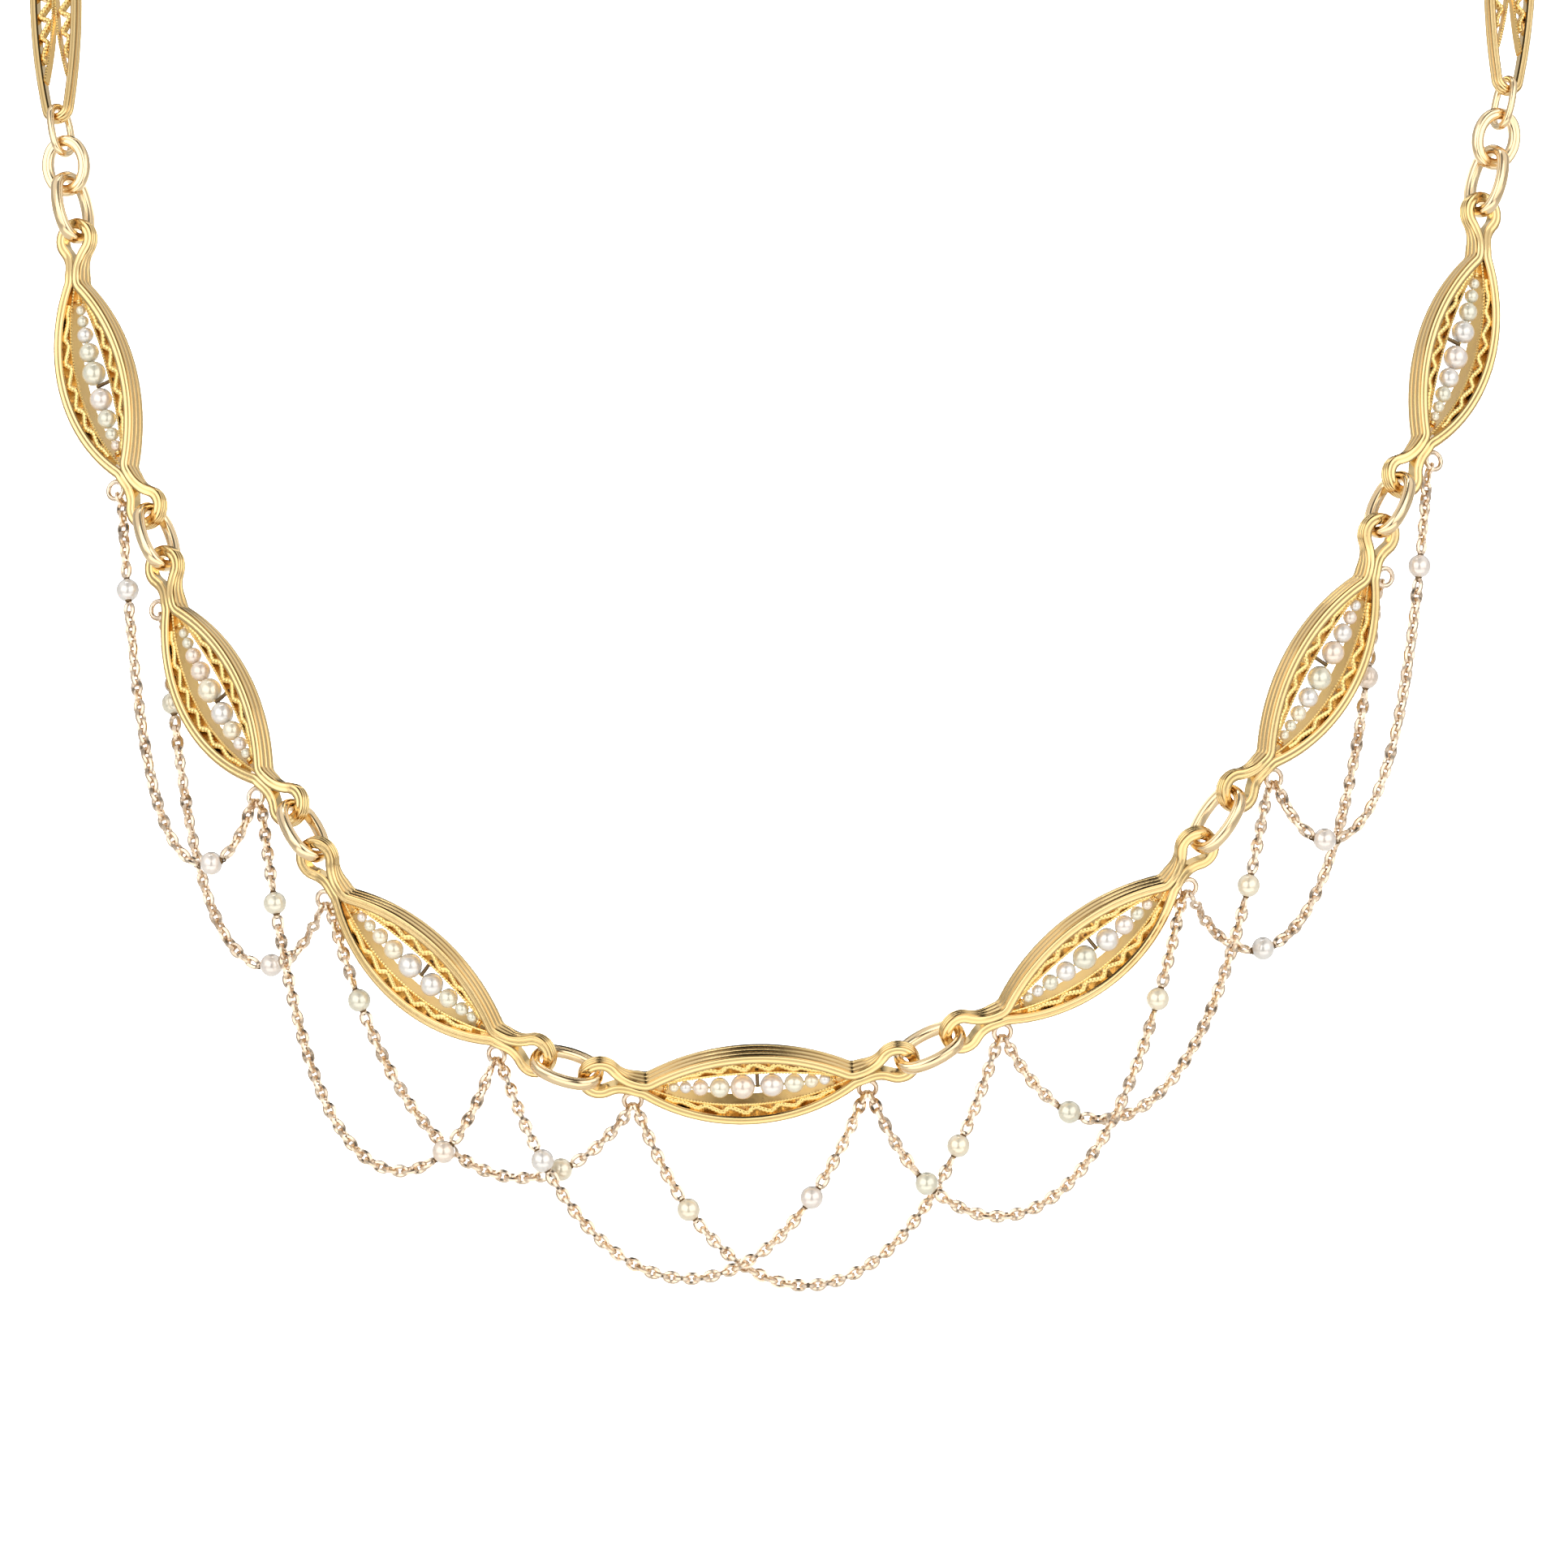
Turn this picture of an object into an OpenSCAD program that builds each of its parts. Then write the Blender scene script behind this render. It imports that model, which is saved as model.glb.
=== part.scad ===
// Festoon necklace: seven navette panels set with graduated pearls, joined by
// oval links, with ten fine chains of two pearls each swagged from ring to ring,
// and plain filigree panels, links and a clasp round the back of the neck.
// It keeps the form that it has when worn. The origin is at the nape, at the
// middle of the clasp; +X is the left of a person who wears it, -Y is their front.

/* [Wear] */
// Angle of the front of the necklace back from upright
lean_back = 25; // [15:1:35]
// Sideways place of the middle panel, because the necklace sits a little turned
middle_shift = -2.3; // [-4:0.1:0]

/* [Pearl panel] */
// Half of the distance between the two pinched necks of a pearl panel
neck_half = 8.65; // [8.4:0.05:9]
// Width of the moulded band, seen from the front
band_w = 0.86; // [0.8:0.02:0.92]
// Depth of the band, from front to back
band_d = 1.8; // [1.5:0.05:1.9]
// Depth of the band where it bends round the eye at each end
eye_d = 0.9; // [0.8:0.05:1]
// Bulge of the band that lies away from the neck, to the middle of the band
outer_bulge = 3.42; // [3.2:0.02:3.6]
// Bulge of the band that lies towards the neck
inner_bulge = 2.22; // [2.1:0.02:2.4]
// Angle by which the eyes at the ends turn towards the neck
eye_turn = 15; // [10:1:18]
// Distance from the pinched neck to the middle of the eye
eye_reach = 2.95; // [2.7:0.05:3.05]
// Radius of the eye, to the middle of the band
eye_r = 1.3; // [1.25:0.01:1.35]
// Number of ridges on the outer wall of the band
reeds = 3; // [2:1:3]

/* [Filigree] */
// Length of one wave of the corrugated ribbon
wave_pitch = 1.9; // [1.7:0.1:2.3]
// Thickness of the corrugated ribbon, measured across the panel
ribbon_t = 0.34; // [0.28:0.02:0.4]
// Thickness of the plain strip inside the ribbon
strip_t = 0.2; // [0.16:0.02:0.24]
// Half of the widest opening between the two inner strips
opening_half = 1.34; // [1.24:0.02:1.4]

/* [Pearls] */
// How far the row of pearls lies in front of the middle of the band
row_front = 0.3; // [0:0.05:0.4]
// Diameters of the graduated pearls in a panel, from its left end
row_pearls = [0.72, 0.86, 1.2, 1.5, 1.84, 1.74, 1.44, 1.02, 0.8];
// Gap between two pearls of a row
pearl_gap = 0.12; // [0.1:0.01:0.14]
// Wider gap that the post of the row stands in
post_gap = 0.46; // [0.44:0.01:0.5]
// Diameter of the wire that the row is threaded on
row_wire = 0.18; // [0.16:0.01:0.2]
// Diameter of the hole drilled through a pearl of a row
row_bore = 0.44; // [0.4:0.01:0.46]
// Diameter of a pearl on the festoon chains
swag_pearl = 1.6; // [1.5:0.05:1.65]
// Diameter of the hole drilled through it
swag_bore = 0.66; // [0.6:0.02:0.7]

/* [Links] */
// Clearance where one link hooks into the next
hook_gap = 0.42; // [0.34:0.01:0.42]
// Oval link between two pearl panels: distance between hooks, width, wire width and wire depth
oval_link = [4.1, 4.1, 0.66, 0.86];
// Rounder ring between two oval links
round_ring = [2.8, 3.9, 0.76, 0.8];
// Small oval link that holds a back panel
small_link = [3.0, 2.8, 0.46, 0.48];
// Radius of a ring soldered under a panel, to the middle of its wire
solder_ring_r = 0.68; // [0.64:0.01:0.72]
// Radius of the wire of that ring
solder_wire_r = 0.2; // [0.18:0.01:0.22]

/* [Back panel] */
// Distance between the hooks of a back panel
back_reach = 21; // [20:0.5:22]
// Width of a back panel, overall
back_w = 4.3; // [4.1:0.1:4.5]
// Width of its band, seen from the front
back_band_w = 0.7; // [0.64:0.02:0.76]
// Depth of its band
back_band_d = 0.9; // [0.8:0.05:1]
// Radius of the rounded tip, to the middle of the band
tip_r = 0.92; // [0.9:0.01:0.96]

/* [Festoons] */
// Diameter of the envelope of the fine chain
chain_d = 0.8; // [0.7:0.05:0.8]
// Distance from the middle of a soldered ring down to the end of a chain's envelope
ring_drop = 1.08; // [1.04:0.01:1.14]
// Distance of each chain to its own side of that ring
ring_side = 0.5; // [0.48:0.01:0.54]

/* [Hidden] */
$fn = 96;
gold = "#dfb456";
pale_gold = "#e6c79a";
pearl_cream = "#efe6da";

// Kinds of piece that the necklace is walked through, from the middle outwards
PANEL = 0;
OVAL = 1;
RING = 2;
SMALL = 3;
BACK = 4;

// The middle panel: heading, lean away from the viewer, roll outwards
MIDDLE = [3, 0, 32];
// The other pieces, each: kind, heading above the horizontal, lean away from the
// viewer and roll outwards, all in degrees
RIGHT = [
    [OVAL, 27, 0, -52], [PANEL, 38, -1, 28],
    [OVAL, 56, 1, -52], [PANEL, 61, 11, 28],
    [OVAL, 68, 26, -52], [PANEL, 73, 22, 28],
    [OVAL, 77, 15, -52], [RING, 77, 6, 24], [SMALL, 79, 11, -60],
    [BACK, 88, 26, 24],
    [SMALL, 113, 28, -48], [RING, 116, 28, 36], [SMALL, 119, 27, -32],
    [BACK, 131, 24, 49],
    [SMALL, 142, 20, -24], [RING, 145, 19, 69], [SMALL, 147, 18, 4],
    [BACK, 157, 13, 94],
    [SMALL, 167, 7, 20], [RING, 170, 6, 114], [SMALL, 172, 5, 47]
];
LEFT = [
    [OVAL, 19, 14, -52], [PANEL, 42, 10, 28],
    [OVAL, 65, 32, -52], [PANEL, 62, 25, 28],
    [OVAL, 74, 26, -52], [PANEL, 75, 20, 28],
    [OVAL, 80, 18, -52], [RING, 82, 12, 24], [SMALL, 81, 17, -54],
    [BACK, 88, 29, 24],
    [SMALL, 105, 11, -50], [RING, 109, 9, 35], [SMALL, 112, 9, -33],
    [BACK, 126, 8, 50],
    [SMALL, 140, 6, -26], [RING, 143, 6, 72], [SMALL, 146, 5, 7],
    [BACK, 160, 3, 97],
    [SMALL, 173, 1, 22], [RING, 176, 1, 115], [SMALL, 180, 0, 48]
];

// Festoons from left to right, each from one soldered ring to the next but one:
// length of chain, places of its two pearls along it, and how far it hangs in front
SWAGS = [
    [35.5, 6.7, 30.3, 0.9], [35, 6.2, 29.3, -3.5], [42.5, 7.2, 35.1, 0.9],
    [36.5, 7.0, 29.8, -0.9], [43, 7.7, 34.7, 0.9], [44.5, 8.3, 36.3, -0.9],
    [43.5, 7.5, 35.8, 0.9], [39.5, 7.0, 32.2, -0.9], [37, 7.0, 30.3, -4.2],
    [36, 5.2, 28.9, 0.9]
];

PANELS = 7;
BACK_PANELS = 6;
LINK_SETS = 8;

// Vector helpers
function unit(v) = v / norm(v);
function heading(side, h, l) = [side * cos(l) * cos(h), cos(l) * sin(h), -sin(l)];
function sinh(x) = (exp(x) - exp(-x)) / 2;
function asinh(x) = ln(x + sqrt(x * x + 1));
function atanh(x) = ln((1 + x) / (1 - x)) / 2;

// Axes of a piece: along the necklace to the right, towards the neck, and out of its face
function axes(side, h, l, roll) =
    let (x = side * heading(side, h, l), out_of_view = [0, 0, 1])
    let (face = unit(out_of_view - (out_of_view * x) * x), away = cross(x, face))
    let (z = cos(roll) * face + sin(roll) * away)
    [x, cross(z, x), z];

// Reach of each kind of piece: along the walk, and sideways towards the neck at each end
eye_hook = eye_reach + eye_r - band_w / 2 - hook_gap / 2;
panel_along = neck_half + eye_hook * cos(eye_turn);
panel_rise = eye_hook * sin(eye_turn);
function half_reach(kind) =
    kind == PANEL ? panel_along :
    kind == OVAL ? oval_link[0] / 2 :
    kind == RING ? round_ring[0] / 2 :
    kind == SMALL ? small_link[0] / 2 : back_reach / 2;
function end_rise(kind) = kind == PANEL ? panel_rise : 0;

// The walk: each entry is kind, middle, axes and the point of the next hook
function walk(rows, side, hook, i = 0) =
    i == len(rows) ? [] :
    let (row = rows[i], a = axes(side, row[1], row[2], row[3]))
    let (step = side * half_reach(row[0]) * a[0], rise = end_rise(row[0]) * a[1])
    let (middle = hook + step - rise, next = middle + step + rise)
    concat([[row[0], middle, a, next]], walk(rows, side, next, i + 1));

mid_axes = axes(1, MIDDLE[0], MIDDLE[1], MIDDLE[2]);
mid_place = [middle_shift, 0, 0];
mid_rise = panel_rise * mid_axes[1];
right_walk = walk(RIGHT, 1, mid_place + panel_along * mid_axes[0] + mid_rise);
left_walk = walk(LEFT, -1, mid_place - panel_along * mid_axes[0] + mid_rise);
mid_entry = [PANEL, mid_place, mid_axes, mid_place];

// All pieces from the left clasp end round the front to the right clasp end
function reversed(list) = [for (i = [len(list) - 1:-1:0]) list[i]];
all_places = concat(reversed(left_walk), [mid_entry], right_walk);
function of_kind(k) = [for (p = all_places) if (p[0] == k) p];
panel_places = of_kind(PANEL);
oval_places = of_kind(OVAL);
ring_places = of_kind(RING);
small_places = of_kind(SMALL);
back_places = of_kind(BACK);

// The clasp spans the last two hooks, and its middle is the origin
left_end = left_walk[len(left_walk) - 1][3];
right_end = right_walk[len(right_walk) - 1][3];
nape = (left_end + right_end) / 2;
clasp_span = norm(right_end - left_end);

// From the viewer's frame (right, up, towards the viewer) to the part's own frame
function turned(v) = [
    v.x, v.y * sin(lean_back) - v.z * cos(lean_back), v.y * cos(lean_back) + v.z * sin(lean_back)
];
function placed(p) = turned(p - nape);
module put(middle, a) {
    m = placed(middle);
    x = turned(a[0]);
    y = turned(a[1]);
    z = turned(a[2]);
    multmatrix([[x.x, y.x, z.x, m.x], [x.y, y.y, z.y, m.y], [x.z, y.z, z.z, m.z], [0, 0, 0, 1]])
        children();
}

// Moulded section of a band: plain inside, reeded outside (at +x when face is 1)
module band_section(w, d, face) {
    groove = w / 9;
    reed = d / reeds;
    ridge = [for (i = [0:reeds - 1]) each [
        [w / 2 - groove, i * reed - d / 2], [w / 2, (i + 0.25) * reed - d / 2],
        [w / 2, (i + 0.75) * reed - d / 2]
    ]];
    outline = concat([[-w / 2, d / 2], [-w / 2, -d / 2]], ridge, [[w / 2 - groove, d / 2]]);
    polygon([for (p = outline) [face * p.x, p.y]]);
}

// Part of a ring of that section, from angle a to angle b round a centre. An arc that
// joins two others is a hair thinner and runs a little way into both
join_inset = 0.015;
join_run = 0.08;
module arc_band(centre, r, a, b, w, d, face, joins = false) {
    more = joins ? join_run / r * 180 / PI : 0;
    thinner = joins ? 2 * join_inset : 0;
    translate([centre.x, centre.y, 0])
        rotate([0, 0, a - more])
            rotate_extrude(angle = b - a + 2 * more)
                translate([r, 0])
                    band_section(w - thinner, d - thinner, face);
}

// Part of a ring of plain rectangular section
module arc_strip(centre, r, a, b, w, z_low, z_high) {
    translate([centre.x, centre.y, z_low])
        rotate([0, 0, a])
            rotate_extrude(angle = b - a)
                translate([r - w / 2, 0])
                    square([w, z_high - z_low]);
}

// Corrugated ribbon of n points a wave, between the curves low(x) and high(x),
// given as lists at the same places along x
function wave_line(xs, low, high, lift) = [
    for (i = [0:len(xs) - 1])
        let (room = (high[i] - low[i]) / 2 - ribbon_t / 2 + 0.07)
        [xs[i], (high[i] + low[i]) / 2 + room * sin(360 * xs[i] / wave_pitch) + lift]
];
module ribbon(xs, low, high, z_low, z_high) {
    top = wave_line(xs, low, high, ribbon_t / 2);
    bottom = reversed(wave_line(xs, low, high, -ribbon_t / 2));
    translate([0, 0, z_low])
        linear_extrude(z_high - z_low)
            polygon(concat(top, bottom));
}

// Pearl panel: places worked out for the band on one side (1 towards the neck, -1 away)
neck_off = band_w / 2 - 0.06;
neck_flat = 0.35;
corner_r = 1.0;
turn_dir = [cos(eye_turn), sin(eye_turn)];
turn_side = [-sin(eye_turn), cos(eye_turn)];
neck_at = [neck_half, 0];
eye_at = neck_at + eye_reach * turn_dir;
eye_fillet_r = (pow(eye_reach - neck_flat, 2) - eye_r * eye_r + neck_off * neck_off) / (2 * (eye_r - neck_off));
function corner_at(side) = neck_at - neck_flat * turn_dir + side * (neck_off + corner_r) * turn_side;
function fillet_at(side) = neck_at + neck_flat * turn_dir + side * (neck_off + eye_fillet_r) * turn_side;
function bulge(side) = side > 0 ? inner_bulge : outer_bulge;
function bow_centre(side) =
    let (c = corner_at(side), top = bulge(side) + corner_r)
    (c.x * c.x + c.y * c.y - top * top) / (2 * (top - side * c.y));
function bow_r(side) = bow_centre(side) + bulge(side);
function bow_angle(side) = let (c = corner_at(side)) atan2(side * c.y + bow_centre(side), c.x);
eye_open = let (f = fillet_at(1) - eye_at) acos((f * turn_dir) / norm(f));

// Inner face of the band and outer face of the strip, over x
strip_end = 7.95;
row_bow = (outer_bulge - inner_bulge) / 2;
function band_inside(side, x) =
    side * (sqrt(pow(bow_r(side) - band_w / 2, 2) - x * x) - bow_centre(side));
function strip_bulge(side) = opening_half + strip_t / 2 - side * row_bow;
function strip_r(side) =
    (strip_end * strip_end + strip_bulge(side) * strip_bulge(side)) / (2 * strip_bulge(side));
function strip_outside(side, x) =
    side * (sqrt(pow(strip_r(side) + strip_t / 2, 2) - x * x) - strip_r(side) + strip_bulge(side));

module panel_band(side) {
    corner = corner_at(side);
    low_angle = bow_angle(side);
    start = side > 0 ? 0 : 180;
    arc_band([0, -side * bow_centre(side)], bow_r(side), start + low_angle, start + 180 - low_angle,
        band_w, band_d, 1);
    for (m = [0, 1])
        mirror([m, 0, 0]) {
            to_bow = side > 0 ? 180 + low_angle : 180 - low_angle;
            to_neck = side > 0 ? 270 + eye_turn : 90 + eye_turn;
            arc_band(corner, corner_r, min(to_bow, to_neck), max(to_bow, to_neck), band_w, band_d, -1, true);
            to_eye_v = eye_at - fillet_at(side);
            to_eye = side > 0 ? 360 + atan2(to_eye_v.y, to_eye_v.x) : atan2(to_eye_v.y, to_eye_v.x);
            arc_band(fillet_at(side), eye_fillet_r, min(to_eye, to_neck), max(to_eye, to_neck),
                band_w, eye_d, -1, true);
            flat = neck_at - neck_flat * turn_dir + side * neck_off * turn_side;
            translate([flat.x, flat.y, 0])
                rotate([0, 0, eye_turn])
                    rotate([90, 0, 90])
                        linear_extrude(2 * neck_flat)
                            band_section(band_w, band_d, side);
        }
}

module panel_eye() {
    arc_band(eye_at, eye_r, eye_turn - eye_open, eye_turn + eye_open, band_w, eye_d, 1);
}

ribbon_half = 6.2;
ribbon_steps = 52;
module panel_filigree(side) {
    xs = [for (i = [0:ribbon_steps]) ribbon_half * (2 * i / ribbon_steps - 1)];
    band = [for (x = xs) band_inside(side, x)];
    strip = [for (x = xs) strip_outside(side, x)];
    ribbon(xs, strip, band, 0.1 - band_d / 2, band_d / 2 - 0.25);
    half_angle = asin(strip_end / strip_r(side));
    arc_strip([0, side * (strip_bulge(side) - strip_r(side))], strip_r(side),
        side * 90 - half_angle, side * 90 + half_angle, strip_t, 0.05 - band_d / 2, band_d / 2 - 0.15);
}

// The bowed wire of the pearl row, and places along it
wire_half = 8.05;
wire_r = (wire_half * wire_half + row_bow * row_bow) / (2 * row_bow);
wire_centre = [0, wire_r - row_bow];
post_after = 4;
function row_gap(i) = i == post_after ? post_gap : pearl_gap;
function row_sum(i) = i < 0 ? 0 : row_pearls[i] + row_gap(i) + row_sum(i - 1);
last_pearl = len(row_pearls) - 1;
row_length = row_sum(last_pearl) - row_gap(last_pearl);
function pearl_place(i) = row_sum(i - 1) + row_pearls[i] / 2 - row_length / 2;
function wire_turn(s) = s / wire_r * 180 / PI;
module on_wire(s) {
    translate([wire_centre.x, wire_centre.y, row_front])
        rotate([0, 0, wire_turn(s)])
            translate([0, -wire_r, 0])
                children();
}

module pearl_wire() {
    half_angle = asin(wire_half / wire_r);
    translate([wire_centre.x, wire_centre.y, row_front])
        rotate([0, 0, 270 - half_angle])
            rotate_extrude(angle = 2 * half_angle)
                translate([wire_r, 0])
                    circle(d = row_wire);
    collar = 0.36;
    for (m = [-1, 1])
        on_wire(m * (row_length / 2 + pearl_gap + collar / 2))
            rotate([0, 90, 0])
                cylinder(d = 0.7, h = collar, center = true);
    post_s = pearl_place(post_after) + (row_pearls[post_after] + post_gap) / 2;
    post_top = opening_half + strip_t / 2;
    on_wire(post_s)
        rotate([-90, 0, 0])
            cylinder(d = 0.24, h = post_top);
}

module solder_ring(end) {
    out = neck_off + band_w / 2 + solder_ring_r + solder_wire_r - 0.12;
    translate([end * (neck_at.x + out * sin(eye_turn)), -out * cos(eye_turn), 0])
        rotate_extrude()
            translate([solder_ring_r, 0])
                circle(r = solder_wire_r, $fn = 24);
}

// Middle of a soldered ring, numbered from the left end of the festoons
function ring_panel(j) = floor(j / 2);
function ring_end(j) = j % 2 == 1 ? 1 : -1;
function ring_middle(j) =
    let (p = panel_places[ring_panel(j)], e = ring_end(j))
    let (out = neck_off + band_w / 2 + solder_ring_r + solder_wire_r - 0.12)
    p[1] + e * (neck_at.x + out * sin(eye_turn)) * p[2][0] - out * cos(eye_turn) * p[2][1];

module pearl_panel(k) {
    color(gold)
        put(panel_places[k][1], panel_places[k][2])
            union() {
                for (side = [-1, 1]) {
                    panel_band(side);
                    panel_filigree(side);
                }
                panel_eye();
                mirror([1, 0, 0]) panel_eye();
                pearl_wire();
                if (k > 0) solder_ring(-1);
                if (k < PANELS - 1) solder_ring(1);
            }
}

module pearl_row(k) {
    color(pearl_cream)
        put(panel_places[k][1], panel_places[k][2])
            for (i = [0:last_pearl])
                on_wire(pearl_place(i))
                    difference() {
                        sphere(d = row_pearls[i]);
                        rotate([0, 90, 0])
                            cylinder(d = row_bore, h = row_pearls[i] + 1, center = true);
                    }
}

// Oval link: two end arcs and two side arcs of bevelled wire
module link_section(w, d) {
    c = w / 4;
    polygon([
        [-w / 2, -d / 2 + c], [-w / 2 + c, -d / 2], [w / 2 - c, -d / 2], [w / 2, -d / 2 + c],
        [w / 2, d / 2 - c], [w / 2 - c, d / 2], [-w / 2 + c, d / 2], [-w / 2, d / 2 - c]
    ]);
}
module link_arc(centre, r, a, b, w, d, joins = false) {
    more = joins ? join_run / r * 180 / PI : 0;
    thinner = joins ? 2 * join_inset : 0;
    translate([centre.x, centre.y, 0])
        rotate([0, 0, a - more])
            rotate_extrude(angle = b - a + 2 * more)
                translate([r, 0])
                    link_section(w - thinner, d - thinner);
}
module oval(size) {
    w = size[2];
    a = (size[0] + hook_gap + w) / 2;
    b = (size[1] - w) / 2;
    end_r = 0.9 * b;
    side_r = (pow(a - end_r, 2) + b * b - end_r * end_r) / (2 * (b - end_r));
    turn = atan2(side_r - b, a - end_r);
    for (m = [0, 1]) {
        rotate([0, 0, 180 * m]) {
            link_arc([a - end_r, 0], end_r, -turn, turn, w, size[3]);
            link_arc([0, b - side_r], side_r, turn, 180 - turn, w, size[3], true);
        }
    }
}
module place_oval(p, size) {
    color(pale_gold)
        put(p[1], p[2])
            oval(size);
}

// Front links lie between the pearl panels; the sets lead on to the back panels
module front_link(k) {
    place_oval(oval_places[k + 1], oval_link);
}
module link_set(k) {
    from_left = k < LINK_SETS / 2;
    place_oval(ring_places[k], round_ring);
    if (k == LINK_SETS / 2 - 1) {
        place_oval(oval_places[0], oval_link);
        place_oval(small_places[2 * k], small_link);
    } else if (k == LINK_SETS / 2) {
        place_oval(oval_places[len(oval_places) - 1], oval_link);
        place_oval(small_places[2 * k - 1], small_link);
    } else {
        first = from_left ? 2 * k : 2 * k - 2;
        place_oval(small_places[first], small_link);
        place_oval(small_places[first + 1], small_link);
    }
}

// Back panel: two bows and two rounded tips, with strips back to back inside
back_bulge = (back_w - back_band_w) / 2;
tip_x = back_reach / 2 + hook_gap / 2 + back_band_w / 2 - tip_r;
back_centre = (tip_x * tip_x - pow(back_bulge - tip_r, 2)) / (2 * (back_bulge - tip_r));
back_r = back_centre + back_bulge;
tip_angle = atan2(back_centre, tip_x);
back_strip_end = 7.6;
back_strip_gap = 0.1;
function back_inside(x) = sqrt(pow(back_r - back_band_w / 2, 2) - x * x) - back_centre;
back_strip_rise = back_inside(back_strip_end) - back_strip_gap - strip_t / 2 + 0.1;
back_strip_r =
    (back_strip_end * back_strip_end + back_strip_rise * back_strip_rise) / (2 * back_strip_rise);
function back_strip_top(x) =
    back_strip_gap + strip_t / 2 + back_strip_r - sqrt(pow(back_strip_r - strip_t / 2, 2) - x * x);

module back_half() {
    arc_band([0, -back_centre], back_r, tip_angle, 180 - tip_angle, back_band_w, back_band_d, 1);
    reach = 5.4;
    xs = [for (i = [0:ribbon_steps]) reach * (2 * i / ribbon_steps - 1)];
    ribbon(xs, [for (x = xs) back_strip_top(x)], [for (x = xs) back_inside(x)],
        0.1 - back_band_d / 2, back_band_d / 2 - 0.2);
    half_angle = asin(back_strip_end / back_strip_r);
    arc_strip([0, back_strip_gap + back_strip_r], back_strip_r, 270 - half_angle, 270 + half_angle,
        strip_t, 0.05 - back_band_d / 2, back_band_d / 2 - 0.1);
}
module back_panel(k) {
    color(gold)
        put(back_places[k][1], back_places[k][2])
            union() {
                for (m = [0, 1]) {
                    mirror([0, m, 0]) back_half();
                    mirror([m, 0, 0])
                        arc_band([tip_x, 0], tip_r, -tip_angle, tip_angle, back_band_w, back_band_d, 1, true);
                }
                translate([0, 0, 0.05 - back_band_d / 2 + (back_band_d - 0.15) / 2])
                    cube([3, 2 * back_strip_gap + strip_t / 2, back_band_d - 0.15], center = true);
            }
}

// Clasp: one plain barrel with a loop at each end
module clasp() {
    loop_r = 1.25;
    loop_wire = 0.2;
    loop_x = clasp_span / 2 + hook_gap / 2 + loop_wire - loop_r;
    barrel = 2 * (loop_x - loop_r);
    across = unit(right_end - left_end);
    face = unit(cross(across, small_places[0][2][2] + small_places[len(small_places) - 1][2][2]));
    color(gold)
        put(nape, [across, cross(face, across), face])
            union() {
                rotate([0, 90, 0])
                    cylinder(d = 2.8, h = barrel, center = true);
                for (m = [-1, 1]) {
                    translate([m * barrel / 2, 0, 0])
                        rotate([0, 90, 0])
                            cylinder(d = 1.9, h = 1, center = true);
                    translate([m * loop_x, 0, 0])
                        rotate_extrude()
                            translate([loop_r, 0])
                                circle(r = loop_wire, $fn = 24);
                }
            }
}

// Hanging curve of festoon k: a catenary between the points under its two rings
function hang_from(k) = ring_middle(k + 1) + [ring_side, -ring_drop, 0];
function hang_to(k) = ring_middle(k + 3) + [-ring_side, -ring_drop, 0];
// Solves sinh(x) / x = ratio by halving
function solve_hang(ratio, low, high, n) =
    let (x = (low + high) / 2)
    n == 0 ? x :
    sinh(x) / x < ratio ? solve_hang(ratio, x, high, n - 1) : solve_hang(ratio, low, x, n - 1);
function hang_data(k) =
    let (p = hang_from(k), q = hang_to(k), len = SWAGS[k][0])
    let (du = q.x - p.x, dv = q.y - p.y)
    let (a = du / 2 / solve_hang(sqrt(len * len - dv * dv) / du, 0.01, 9, 40))
    let (x0 = (p.x + q.x) / 2 - a * atanh(dv / len))
    [p, q, len, a, x0, sinh((p.x - x0) / a)];
function cosh_from(x, h) = h[3] * (exp((x - h[4]) / h[3]) + exp((h[4] - x) / h[3])) / 2;
function ease(s, len) = let (e = max(0, min(1, s / 3.5, (len - s) / 3.5))) 0.15 + 0.85 * e * (2 - e);
function hang_at(h, layer, s) =
    let (x = h[4] + h[3] * asinh(s / h[3] + h[5]))
    let (y = h[0].y + cosh_from(x, h) - cosh_from(h[0].x, h))
    let (z = h[0].z + (h[1].z - h[0].z) * s / h[2])
    [x, y, z + layer * ease(s, h[2])];
function hang_axes(h, layer, s) =
    let (t = unit(hang_at(h, layer, s + 0.05) - hang_at(h, layer, s - 0.05)))
    let (side = unit(cross([0, 0, 1], t)))
    [t, side, cross(t, side)];
// A pearl sits on the straight between two places on the chain
pearl_clear = swag_pearl / 2 + 0.2;
thin = pearl_clear - 0.05;
function pearl_seat(h, layer, s) = (hang_at(h, layer, s - thin) + hang_at(h, layer, s + thin)) / 2;
function pearl_axes(h, layer, s) =
    let (t = unit(hang_at(h, layer, s + thin) - hang_at(h, layer, s - thin)))
    let (side = unit(cross([0, 0, 1], t)))
    [t, side, cross(t, side)];

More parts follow.
